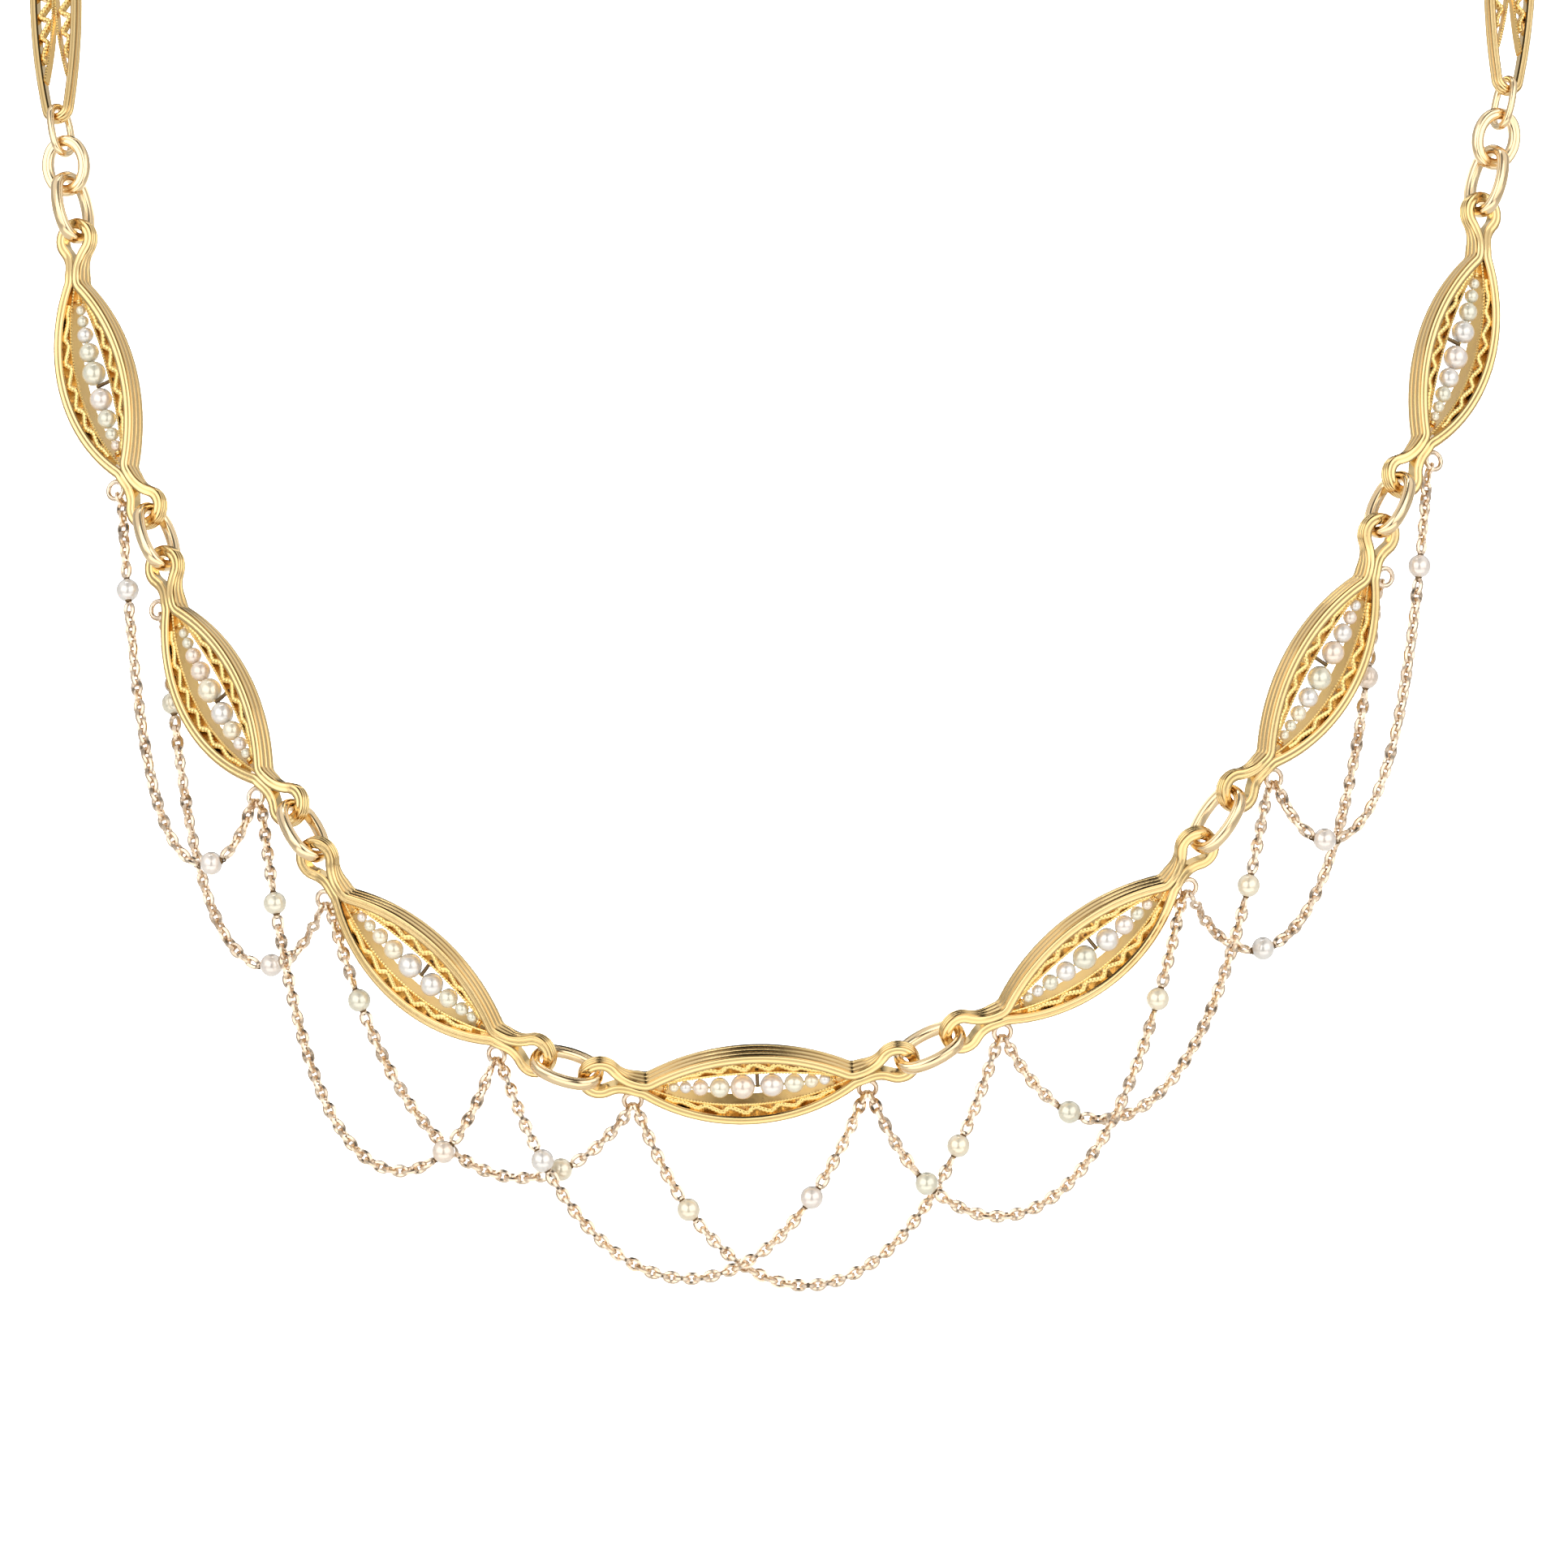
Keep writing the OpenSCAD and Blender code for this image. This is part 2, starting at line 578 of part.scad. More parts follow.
// Rings of the envelope: [place, radius], thin where a pearl sits
function stretch(a, b, step) =
    let (n = ceil((b - a) / step)) [for (i = [0:n]) [a + (b - a) * i / n, chain_d / 2]];
thin_r = 0.2;
function chain_rings(k) =
    let (row = SWAGS[k], step = 1.65)
    concat(
        stretch(0, row[1] - pearl_clear, step),
        [[row[1] - thin, thin_r], [row[1] + thin, thin_r]],
        stretch(row[1] + pearl_clear, row[2] - pearl_clear, step),
        [[row[2] - thin, thin_r], [row[2] + thin, thin_r]],
        stretch(row[2] + pearl_clear, row[0], step)
    );
module festoon_chain(k) {
    h = hang_data(k);
    layer = SWAGS[k][3];
    rings = chain_rings(k);
    sides = 8;
    points = [
        for (r = rings)
            let (c = hang_at(h, layer, r[0]), a = hang_axes(h, layer, r[0]))
            for (j = [0:sides - 1])
                placed(c + r[1] * (cos(j * 360 / sides) * a[1] + sin(j * 360 / sides) * a[2]))
    ];
    last = (len(rings) - 1) * sides;
    walls = [
        for (i = [0:len(rings) - 2], j = [0:sides - 1])
            let (n = (j + 1) % sides, b = i * sides)
            each [[b + j, b + n, b + sides + n], [b + j, b + sides + n, b + sides + j]]
    ];
    caps = [
        for (j = [1:sides - 2])
            each [[0, j + 1, j], [last, last + j, last + j + 1]]
    ];
    color(pale_gold)
        polyhedron(points, [for (f = concat(walls, caps)) [f[2], f[1], f[0]]]);
}

module festoon_pearls(k) {
    h = hang_data(k);
    layer = SWAGS[k][3];
    color(pearl_cream)
        for (s = [SWAGS[k][1], SWAGS[k][2]])
            put(pearl_seat(h, layer, s), pearl_axes(h, layer, s))
                difference() {
                    sphere(d = swag_pearl);
                    rotate([0, 90, 0])
                        cylinder(d = swag_bore, h = swag_pearl + 1, center = true);
                }
}

function names(word, n) = [for (i = [1:n]) str(word, i)];

for (k = [1:PANELS]) pearl_panel(k - 1);
for (k = [1:PANELS]) pearl_row(k - 1);
for (k = [1:PANELS - 1]) front_link(k - 1);
for (k = [1:LINK_SETS]) link_set(k - 1);
for (k = [1:BACK_PANELS]) back_panel(k - 1);
clasp();
for (k = [1:len(SWAGS)]) festoon_chain(k - 1);
for (k = [1:len(SWAGS)]) festoon_pearls(k - 1);
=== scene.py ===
import math

import bpy
import numpy as np
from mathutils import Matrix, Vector


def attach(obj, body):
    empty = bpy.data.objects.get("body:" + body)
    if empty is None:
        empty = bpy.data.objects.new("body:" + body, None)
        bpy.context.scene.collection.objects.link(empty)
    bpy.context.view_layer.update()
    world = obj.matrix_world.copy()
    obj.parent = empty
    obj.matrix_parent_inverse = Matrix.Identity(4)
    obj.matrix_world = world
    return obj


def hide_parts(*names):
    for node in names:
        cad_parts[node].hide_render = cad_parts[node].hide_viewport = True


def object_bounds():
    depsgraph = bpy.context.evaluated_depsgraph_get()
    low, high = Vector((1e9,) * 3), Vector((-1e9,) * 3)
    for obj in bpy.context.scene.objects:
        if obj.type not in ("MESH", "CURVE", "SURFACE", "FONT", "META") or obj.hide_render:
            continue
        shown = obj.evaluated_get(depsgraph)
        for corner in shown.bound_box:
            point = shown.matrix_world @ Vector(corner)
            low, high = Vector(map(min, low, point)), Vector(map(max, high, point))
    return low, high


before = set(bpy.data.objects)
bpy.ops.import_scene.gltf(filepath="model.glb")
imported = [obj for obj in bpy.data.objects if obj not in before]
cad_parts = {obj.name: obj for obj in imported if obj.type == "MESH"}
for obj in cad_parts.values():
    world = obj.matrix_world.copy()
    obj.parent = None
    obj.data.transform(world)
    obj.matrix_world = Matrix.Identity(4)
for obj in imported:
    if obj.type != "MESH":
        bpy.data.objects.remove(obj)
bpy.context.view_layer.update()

# The necklace as it hangs
# Yellow gold panels joined by rose gold links, each hooked into the one before it, from the
# middle panel round both sides to the nape. Sizes are in millimetres, in the photo's own
# view: right, up, towards the viewer

# How far the worn necklace leans back from upright, and where its middle panel lies
LEAN_BACK = math.radians(25)
MIDDLE_SHIFT = -2.3
BAND_W, BAND_D, EYE_D = 0.86, 1.8, 0.95
NECK_HALF, EYE_REACH, EYE_R = 8.65, 2.95, 1.3
EYE_TURN = math.radians(15)
BACK_REACH = 21
# Clear distance between two wires that hook into each other
HOOK_GAP = 0.42
# Links: length from hook to hook, width, and the wire's width and depth
OVAL_SIZE = (4.1, 4.1, 0.66, 0.86)
RING_SIZE = (2.8, 3.9, 0.76, 0.8)
SMALL_SIZE = (3.0, 2.8, 0.46, 0.48)
# Each row: kind, heading above the horizontal, lean away from the viewer and roll, in
# degrees, from the middle outwards. Another program worked out the headings and leans. It
# fitted the first ten rows of a side to points read off the photo, and ran the rest in an
# arc to the nape, with their rolls. A few were changed since
MIDDLE_ROW = ("panel", 3, 0, 32)
RIGHT_ROWS = (
    ("oval", 27, 0, -52), ("panel", 38, -1, 28),
    ("oval", 56, 1, -52), ("panel", 61, 11, 28),
    ("oval", 68, 26, -52), ("panel", 73, 22, 28),
    ("oval", 77, 15, -52), ("ring", 77, 6, 24), ("small", 79, 11, -60),
    ("back", 88, 26, 24),
    ("small", 113, 28, -48), ("ring", 116, 28, 36), ("small", 119, 27, -32),
    ("back", 131, 24, 49),
    ("small", 142, 20, -24), ("ring", 145, 19, 69), ("small", 147, 18, 4),
    ("back", 157, 13, 94),
    ("small", 167, 7, 20), ("ring", 170, 6, 114), ("small", 172, 5, 47),
)
LEFT_ROWS = (
    ("oval", 19, 14, -52), ("panel", 42, 10, 28),
    ("oval", 65, 32, -52), ("panel", 62, 25, 28),
    ("oval", 74, 26, -52), ("panel", 75, 20, 28),
    ("oval", 80, 18, -52), ("ring", 82, 12, 24), ("small", 81, 17, -54),
    ("back", 88, 29, 24),
    ("small", 105, 11, -50), ("ring", 109, 9, 35), ("small", 112, 9, -33),
    ("back", 126, 8, 50),
    ("small", 140, 6, -26), ("ring", 143, 6, 72), ("small", 146, 5, 7),
    ("back", 160, 3, 97),
    ("small", 173, 1, 22), ("ring", 176, 1, 115), ("small", 180, 0, 48),
)
EYE_HOOK = EYE_REACH + EYE_R - BAND_W / 2 - HOOK_GAP / 2
REACH = {
    "panel": NECK_HALF + EYE_HOOK * math.cos(EYE_TURN),
    "oval": OVAL_SIZE[0] / 2,
    "ring": RING_SIZE[0] / 2,
    "small": SMALL_SIZE[0] / 2,
    "back": BACK_REACH / 2,
}


def unit(v):
    """Vector or rows of vectors scaled to length one."""
    return v / np.linalg.norm(v, axis=-1, keepdims=True)


def axes(side, heading, lean, roll):
    """Rows: along the necklace to the right, towards the neck, out of the face."""
    rise, back, turn = (math.radians(a) for a in (heading, lean, roll))
    along = np.array([
        math.cos(back) * math.cos(rise),
        side * math.cos(back) * math.sin(rise),
        -side * math.sin(back),
    ])
    face = unit(np.array([0.0, 0.0, 1.0]) - along[2] * along)
    out = math.cos(turn) * face + math.sin(turn) * np.cross(along, face)
    return np.array([along, np.cross(out, along), out])


def walk(rows, side, hook):
    """Places of the pieces of one side, each (kind, middle, axes), and the last hook."""
    places = []
    for kind, heading, lean, roll in rows:
        a = axes(side, heading, lean, roll)
        rise = EYE_HOOK * math.sin(EYE_TURN) * a[1] if kind == "panel" else 0 * a[1]
        middle = hook + side * REACH[kind] * a[0] - rise
        hook = middle + side * REACH[kind] * a[0] + rise
        places.append((kind, middle, a))
    return places, hook


mid_axes = axes(1, *MIDDLE_ROW[1:])
mid_place = np.array([MIDDLE_SHIFT, 0.0, 0.0])
mid_rise = EYE_HOOK * math.sin(EYE_TURN) * mid_axes[1]
mid_reach = REACH["panel"] * mid_axes[0]
right_places, right_end = walk(RIGHT_ROWS, 1, mid_place + mid_reach + mid_rise)
left_places, left_end = walk(LEFT_ROWS, -1, mid_place - mid_reach + mid_rise)
places = left_places[::-1] + [("panel", mid_place, mid_axes)] + right_places
nape = (left_end + right_end) / 2
# From the photo's view to the frame of the part, in which the necklace leans back
TO_ROW = np.array([
    [1, 0, 0],
    [0, math.sin(LEAN_BACK), -math.cos(LEAN_BACK)],
    [0, math.cos(LEAN_BACK), math.sin(LEAN_BACK)],
])


def of_kind(kind):
    """Places of all the pieces of one kind, from the left."""
    return [p for p in places if p[0] == kind]


def seated(points, place):
    """Points of a piece in millimetres, moved to its place in the row frame in metres."""
    return (place[1] - nape + points @ place[2]) @ TO_ROW.T * 0.001


# Pearl panels
# Gold drawn to a reeded band and bent to a navette: bow, pinched neck, open eye, and back.
# A corrugated ribbon and a beaded strip are soldered inside each bow, with the wire of the
# pearls, its two collars and its post between them, and festoon rings under the necks

# Brown painted into the gold as shade where it lies deep in creases and recesses
PAINTED_SHADE_BROWN = "#94621c"
# Noise scales per metre: colour patches about 4 mm wide, and polishing marks about 0.3 mm
# apart, coarser than real ones so that they show. Then the depth of each in metres
PATCH_SCALE, MARK_SCALE = 260.0, 3200.0
PATCH_DEEP, MARK_DEEP = 0.0004, 0.00004
SMOOTHEST, ROUGHEST = 0.75, 1.3
SHARP_ANGLE = math.radians(42)


def linear(code):
    """Colour #rrggbb as the renderer's linear values."""
    values = [int(code[i : i + 2], 16) / 255 for i in (1, 3, 5)]
    return [v / 12.92 if v <= 0.04045 else ((v + 0.055) / 1.055) ** 2.4 for v in values] + [1.0]


def node(tree, kind, links=(), **settings):
    """Adds a node; settings go on its sockets or properties, links are (socket, source)."""
    n = tree.nodes.new(kind)
    for key, value in settings.items():
        label = key.replace("_", " ")
        if label in n.inputs:
            n.inputs[label].default_value = value
        else:
            setattr(n, key, value)
    for socket, source in links:
        tree.links.new(source, n.inputs[socket])
    return n


def new_material(name):
    """A material with its own nodes; returns (material, tree, shader)."""
    m = bpy.data.materials.new(name)
    m.use_nodes = True
    tree = m.node_tree
    return m, tree, tree.nodes["Principled BSDF"]


def gold_material(name, light, deep, roughness, patch, mark):
    """Metal whose colour drifts between two golds, with soft unevenness, fine polishing
    marks, and a painted brown shade wherever a point's painted shade says it lies deep."""
    m, tree, shader = new_material(name)
    where = node(tree, "ShaderNodeTexCoord")
    spot = ("Vector", where.outputs["Object"])
    cloud = node(tree, "ShaderNodeTexNoise", [spot], Scale=PATCH_SCALE, Detail=3.0)
    mix = node(tree, "ShaderNodeMix", [("Factor", cloud.outputs["Fac"])], data_type="RGBA")
    mix.inputs["A"].default_value = linear(light)
    mix.inputs["B"].default_value = linear(deep)
    fine = node(tree, "ShaderNodeTexNoise", [spot], Scale=MARK_SCALE, Detail=4.0)
    rough = node(tree, "ShaderNodeMapRange", [("Value", fine.outputs["Fac"])])
    rough.inputs["To Min"].default_value = roughness * SMOOTHEST
    rough.inputs["To Max"].default_value = roughness * ROUGHEST
    uneven = node(
        tree, "ShaderNodeBump", [("Height", cloud.outputs["Fac"])], Strength=patch, Distance=PATCH_DEEP
    )
    bump = node(
        tree,
        "ShaderNodeBump",
        [("Height", fine.outputs["Fac"]), ("Normal", uneven.outputs["Normal"])],
        Strength=mark,
        Distance=MARK_DEEP,
    )
    # Painted shade: the gold is mixed towards the painted brown as far as each point's shade value says
    groove = node(tree, "ShaderNodeAttribute", attribute_name="groove")
    painted_shade_mix = node(
        tree,
        "ShaderNodeMix",
        [("Factor", groove.outputs["Fac"]), ("A", mix.outputs["Result"])],
        data_type="RGBA",
    )
    painted_shade_mix.inputs["B"].default_value = linear(PAINTED_SHADE_BROWN)
    tree.links.new(painted_shade_mix.outputs["Result"], shader.inputs["Base Color"])
    tree.links.new(rough.outputs["Result"], shader.inputs["Roughness"])
    tree.links.new(bump.outputs["Normal"], shader.inputs["Normal"])
    shader.inputs["Metallic"].default_value = 1.0
    return m


# Yellow gold, drawn and polished: clear reflections with soft edges
BAND_GOLD = gold_material("polished_yellow_gold", "#f3d8a2", "#e7c482", 0.14, 0.1, 0.15)
# The same gold as crimping and soldering leave it: brighter, with softer reflections
FILIGREE_GOLD = gold_material("soft_filigree_gold", "#ffe29a", "#f4c878", 0.26, 0.15, 0.2)
# Walls of the strips: a deeper, duller yellow, as their light comes off the gold round them
STRIP_GOLD = gold_material("deep_yellow_gold", "#ffdb90", "#f6c87c", 0.3, 0.1, 0.2)
# Rose gold of the fine chain and its rings: paler and pinker
CHAIN_GOLD = gold_material("trace_chain_gold", "#eedcc8", "#d6bc9e", 0.2, 0.1, 0.2)
# Post, wire eyes and their caps: brown, as polish never reaches them
DARK_WIRE = gold_material("tarnished_wire", "#8f7757", "#4f3d2a", 0.35, 0.1, 0.2)
# The metals of a panel, and the number by which its surfaces name each
PANEL_METALS = [BAND_GOLD, FILIGREE_GOLD, STRIP_GOLD, DARK_WIRE, CHAIN_GOLD]
BAND, FILIGREE, STRIP, DARK, CHAIN = range(5)


def grid(points, close_rows=False, cap=False):
    """Quads of a grid of points (rows, columns, 3) whose columns close into rings; cap
    fills the first and last ring."""
    rows, cols = points.shape[:2]
    i = np.arange(rows if close_rows else rows - 1)[:, None]
    j = np.arange(cols)[None, :]
    corner = [
        (i * cols + j),
        (i * cols + (j + 1) % cols),
        ((i + 1) % rows * cols + (j + 1) % cols),
        ((i + 1) % rows * cols + j),
    ]
    faces = np.stack([c.ravel() for c in corner], axis=1).tolist()
    if cap:
        faces.append(list(range(cols))[::-1])
        faces.append(list(range((rows - 1) * cols, rows * cols)))
    return points.reshape(-1, 3), faces


def sweep(centres, side, up, outline, close=False):
    """Outline (r, z) carried along centres: p = c + r * side + z * up at each row."""
    outline = np.broadcast_to(outline, (len(centres),) + outline.shape[-2:])
    points = centres[:, None] + outline[..., :1] * side[:, None] + outline[..., 1:] * up[:, None]
    return grid(points, close_rows=close, cap=not close)


def circle(r, sides):
    """Round outline (r cos a, r sin a), with a flat side facing outwards."""
    a = (np.arange(sides) + 0.5) * 2 * math.pi / sides
    return np.stack([r * np.cos(a), r * np.sin(a)], axis=1)


def flat(xy, z=0.0):
    """Points in the plane of a piece, from their x and y."""
    return np.column_stack([xy, np.full(len(xy), z)])


def side_of(path):
    """Unit vectors to the right of a path in the plane of a piece."""
    run = unit(np.gradient(path, axis=0))
    return np.column_stack([run[:, 1], -run[:, 0], 0 * run[:, 0]])


def straight_up(path):
    """The piece's own z axis at every point of a path."""
    return np.tile([0.0, 0.0, 1.0], (len(path), 1))


def length_along(path):
    """Distance from the start of a path to each of its points."""
    return np.concatenate([[0], np.cumsum(np.hypot(*np.diff(path, axis=0).T))])


def torus(centre, a, b, wire, around, sides):
    """Ring in the plane of a piece: centreline (a cos t, b sin t), wire of that radius."""
    t = np.arange(around) * 2 * math.pi / around
    line = np.column_stack([a * np.cos(t), b * np.sin(t), 0 * t]) + centre
    out = unit(np.column_stack([b * np.cos(t), a * np.sin(t), 0 * t]))
    return sweep(line, out, straight_up(line), circle(wire, sides), close=True)


def rod(start, end, radii, sides):
    """Round rod along start + t * (end - start), whose radius follows the list."""
    run = unit(end - start)
    side = unit(np.cross(run, [0.0, 0.0, 1.0] if abs(run[2]) < 0.9 else [1.0, 0.0, 0.0]))
    up = np.cross(side, run)
    t = np.linspace(0, 1, len(radii))[:, None]
    line = start + t * (end - start)
    rows = len(radii)
    outline = circle(1.0, sides)[None] * np.array(radii)[:, None, None]
    return sweep(line, np.tile(side, (rows, 1)), np.tile(up, (rows, 1)), outline)


def joined(surfaces):
    """Several (points, faces, material, painted shade of each point if any) as one such piece."""
    points, faces, numbers, grooves, start = [], [], [], [], 0
    for p, f, number, *groove in surfaces:
        points.append(p)
        faces += [[v + start for v in face] for face in f]
        numbers += [number] * len(f)
        grooves.append(groove[0] if groove else np.zeros(len(p)))
        start += len(p)
    return np.concatenate(points), faces, numbers, np.concatenate(grooves)


def placed(surface, place):
    """A joined piece in its own axes, seated at its place on the necklace."""
    points, *rest = surface
    return seated(points, place), *rest


def add_piece(name, surface, materials, stands_for, tints=None):
    """Adds one mesh made of (points, faces, material numbers, painted shade) that stands for a node."""
    points, faces, numbers, grooves = surface
    mesh = bpy.data.meshes.new(name)
    mesh.from_pydata(points.tolist(), [], faces)
    for m in materials:
        mesh.materials.append(m)
    mesh.polygons.foreach_set("material_index", numbers)
    mesh.polygons.foreach_set("use_smooth", [True] * len(faces))
    mesh.set_sharp_from_angle(angle=SHARP_ANGLE)
    # Painted shade of each point, which the gold materials mix in as brown
    mesh.attributes.new("groove", "FLOAT", "POINT").data.foreach_set("value", grooves)
    if tints is not None:
        paint = mesh.color_attributes.new("tint", "FLOAT_COLOR", "POINT")
        paint.data.foreach_set("color", np.asarray(tints).ravel())
    mesh.update()
    piece = bpy.data.objects.new(name, mesh)
    bpy.context.scene.collection.objects.link(piece)
    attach(piece, "root")
    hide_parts(stands_for)


NECK_OFF, NECK_FLAT, CORNER_R = BAND_W / 2 - 0.06, 0.35, 1.0
OUTER_BULGE, INNER_BULGE = 3.42, 2.22
OUTLINE_STEP = 0.2
# The band thins to the eye's depth over FADE_LONG, which ends FADE_END past the neck
FADE_END, FADE_LONG = 1.9, 2.2
turn_dir = np.array([math.cos(EYE_TURN), math.sin(EYE_TURN)])
turn_side = np.array([-math.sin(EYE_TURN), math.cos(EYE_TURN)])
neck_at = np.array([NECK_HALF, 0.0])
eye_at = neck_at + EYE_REACH * turn_dir
FILLET_R = ((EYE_REACH - NECK_FLAT) ** 2 - EYE_R**2 + NECK_OFF**2) / (2 * (EYE_R - NECK_OFF))


def bow(side):
    """Radius and centre height of the long bow, which is tangent to the neck's corner, and
    the corner's centre."""
    corner = neck_at - NECK_FLAT * turn_dir + side * (NECK_OFF + CORNER_R) * turn_side
    bulge = INNER_BULGE if side > 0 else OUTER_BULGE
    top = bulge + CORNER_R
    below = (corner @ corner - top * top) / (2 * (top - side * corner[1]))
    return below + bulge, below, corner


def arc(centre, r, start, end, step, hollow=False):
    """Points and outward normals of an arc between two directions, about step apart."""
    a0, a1 = math.atan2(start[1], start[0]), math.atan2(end[1], end[0])
    swing = (a1 - a0 + math.pi) % (2 * math.pi) - math.pi
    count = max(2, round(abs(swing) * r / step))
    a = a0 + swing * np.arange(count) / count
    out = np.column_stack([np.cos(a), np.sin(a)])
    return centre + r * out, -out if hollow else out


def half_outline(side):
    """Band from the far point of the right eye to the middle of the bow on one side:
    points, outward normals and depth of the band, which eases as 3 t^2 - 2 t^3."""
    r, below, corner = bow(side)
    middle = np.array([0.0, -side * below])
    fillet = neck_at + NECK_FLAT * turn_dir + side * (NECK_OFF + FILLET_R) * turn_side
    neck_steps = [NECK_FLAT, 0, -NECK_FLAT * 0.6]
    parts = [
        arc(eye_at, EYE_R, turn_dir, fillet - eye_at, OUTLINE_STEP),
        arc(fillet, FILLET_R, eye_at - fillet, -side * turn_side, OUTLINE_STEP, hollow=True),
        (
            neck_at + np.outer(neck_steps, turn_dir) + side * NECK_OFF * turn_side,
            np.tile(side * turn_side, (3, 1)),
        ),
        arc(corner, CORNER_R, -side * turn_side, middle - corner, OUTLINE_STEP, hollow=True),
        arc(middle, r, corner - middle, np.array([0.0, side]), OUTLINE_STEP * 1.4),
    ]
    points = np.concatenate([p for p, _ in parts] + [[[0.0, side * (r - below)]]])
    normals = np.concatenate([n for _, n in parts] + [[[0.0, side]]])
    inward = np.clip((neck_at[0] + FADE_END - points[:, 0]) / FADE_LONG, 0, 1)
    depth = EYE_D + (BAND_D - EYE_D) * inward * inward * (3 - 2 * inward)
    return points, normals, depth


def whole_outline():
    """The closed loop of the band: right eye, upper bow, left eye, lower bow and back."""
    upper, lower = half_outline(1), half_outline(-1)
    flip = np.array([-1.0, 1.0])
    mirror = (flip, flip, 1.0)
    loop = []
    for up, down, turned in zip(upper, lower, mirror):
        quarters = [up, up[-2:0:-1] * turned, down[:-1] * turned, down[:0:-1]]
        loop.append(np.concatenate(quarters))
    return loop


RIDGE_HIGH, REED_HIGH, REED_FROM, EDGE = 0.09, 0.06, 0.06, 0.08
RIDGE_POINTS, REED_POINTS = 5, 10
# How dark the painted shade grows where the reeds of the band meet
GROOVE_PAINTED_SHADE = 0.85
# The reeds in front start FACE_FROM inside the outer wall and take up all of the band's
# width but FACE_LESS, and its flat back ends BACK_LESS inside the outer wall
FACE_FROM, FACE_LESS, BACK_LESS = 0.1, 0.14, 0.15


def moulding(w, d, ridges):
    """Outline of the moulded band and the painted shade of each of its points, darkest
    where the reeds meet: plain inner wall and back, reeded outer wall whose ridges rise
    as |sin|, and two shallow reeds in front."""
    t = np.linspace(0, ridges, ridges * RIDGE_POINTS + 1)
    wall_r = w / 2 - RIDGE_HIGH + RIDGE_HIGH * np.abs(np.sin(math.pi * t)) ** 0.5
    wall_z = (t / ridges - 0.5) * (d - 2 * EDGE)
    f = np.linspace(REED_FROM, 2, REED_POINTS)
    face_r = w / 2 - FACE_FROM - (w - FACE_LESS) * f / 2
    face_z = d / 2 - REED_HIGH + REED_HIGH * np.abs(np.sin(math.pi * f)) ** 0.5
    inside = [[-w / 2, d / 2 - EDGE], [-w / 2, 0], [-w / 2, EDGE - d / 2], [EDGE - w / 2, -d / 2]]
    back = [[0.0, -d / 2], [w / 2 - BACK_LESS, -d / 2]]
    wall = np.column_stack([wall_r, wall_z])
    face = np.column_stack([face_r, face_z])
    plain = np.zeros(len(inside) + len(back))
    # Painted shade, darkest at the cusps between the reeds
    deep = np.concatenate([1 - np.abs(np.sin(math.pi * t)), 1 - np.abs(np.sin(math.pi * f)), plain])
    return np.concatenate([wall, face, inside, back]), GROOVE_PAINTED_SHADE * deep**3


def panel_band():
    """The band swept round its outline, shallower round the eyes."""
    points, normals, depth = whole_outline()
    section, deep = moulding(BAND_W, BAND_D, 3)
    outline = np.repeat(section[None], len(points), axis=0)
    outline[:, :, 1] *= depth[:, None] / BAND_D
    p, f = sweep(flat(points), flat(normals), straight_up(points), outline, close=True)
    return p, f, BAND, np.tile(deep, len(points))


ROW_BOW = (OUTER_BULGE - INNER_BULGE) / 2
OPENING_HALF, STRIP_T, STRIP_END = 1.34, 0.2, 7.95
STRIP_DRAWN, STRIP_POINTS = 0.16, 90
BEAD_R, BEAD_PITCH, BEAD_POINTS = 0.12, 0.25, 5
WAVE, RIBBON_T, RIBBON_END, RIBBON_POINTS, RIBBON_SUNK = 1.9, 0.42, 6.5, 330, 0.03
CRIMP_HIGH, CRIMP_PITCH = 0.014, 0.3
# Depth of the ribbon's rounded front edge at its sides and at its shoulders
ROUND_SIDE, ROUND_SHOULDER = 0.1, 0.03
# How far the ribbons and strips stay inside the band's back and front
RIBBON_BACK, RIBBON_FRONT = 0.1, 0.14
STRIP_BACK, STRIP_FRONT = 0.05, 0.25
# Painted shade of the ribbon's seven outline points, dark at the back where it lies deep: its back edges,
# then its rounded front
RIBBON_PAINTED_SHADE = (0.65, 0.65, 0.15, 0, 0, 0, 0.15)


def strip_arc(side):
    """Radius and centre height of the inner strip of one side, from r = (end^2 + bulge^2)
    / (2 bulge)."""
    bulge = OPENING_HALF + STRIP_T / 2 - side * ROW_BOW
    r = (STRIP_END**2 + bulge**2) / (2 * bulge)
    return r, side * (bulge - r)


def arc_height(side, r, centre, x):
    """Height of a flat arc over x: centre + side * sqrt(r^2 - x^2)."""
    return centre + side * np.sqrt(r * r - x * x)


def ribbon(x, low, high, thick, z_low, z_high):
    """Corrugated ribbon between two curves: y = middle + room * sin(turn + 0.4 sin turn),
    turn = 2 pi x / wave, with a finely crimped front edge and painted shade towards the back."""
    turn = 2 * math.pi * x / WAVE
    room = np.abs(high - low) / 2 - thick / 2 + RIBBON_SUNK
    y = (low + high) / 2 + room * np.sin(turn + 0.4 * np.sin(turn))
    path = np.column_stack([x, y])
    crimp = CRIMP_HIGH * np.sin(2 * math.pi * length_along(path) / CRIMP_PITCH)
    half, shoulder = thick / 2, thick / 3.2
    shape = np.array([
        [-half, z_low], [half, z_low],
        [half, z_high - ROUND_SIDE], [shoulder, z_high - ROUND_SHOULDER], [0.0, z_high],
        [-shoulder, z_high - ROUND_SHOULDER], [-half, z_high - ROUND_SIDE],
    ])
    outline = np.repeat(shape[None], len(x), axis=0)
    outline[:, 2:, 1] += crimp[:, None]
    outline[:, 2:, 0] *= 1 + 2.0 * crimp[:, None]
    p, f = sweep(flat(path), side_of(path), straight_up(path), outline)
    return p, f, FILIGREE, np.tile(RIBBON_PAINTED_SHADE, len(path))


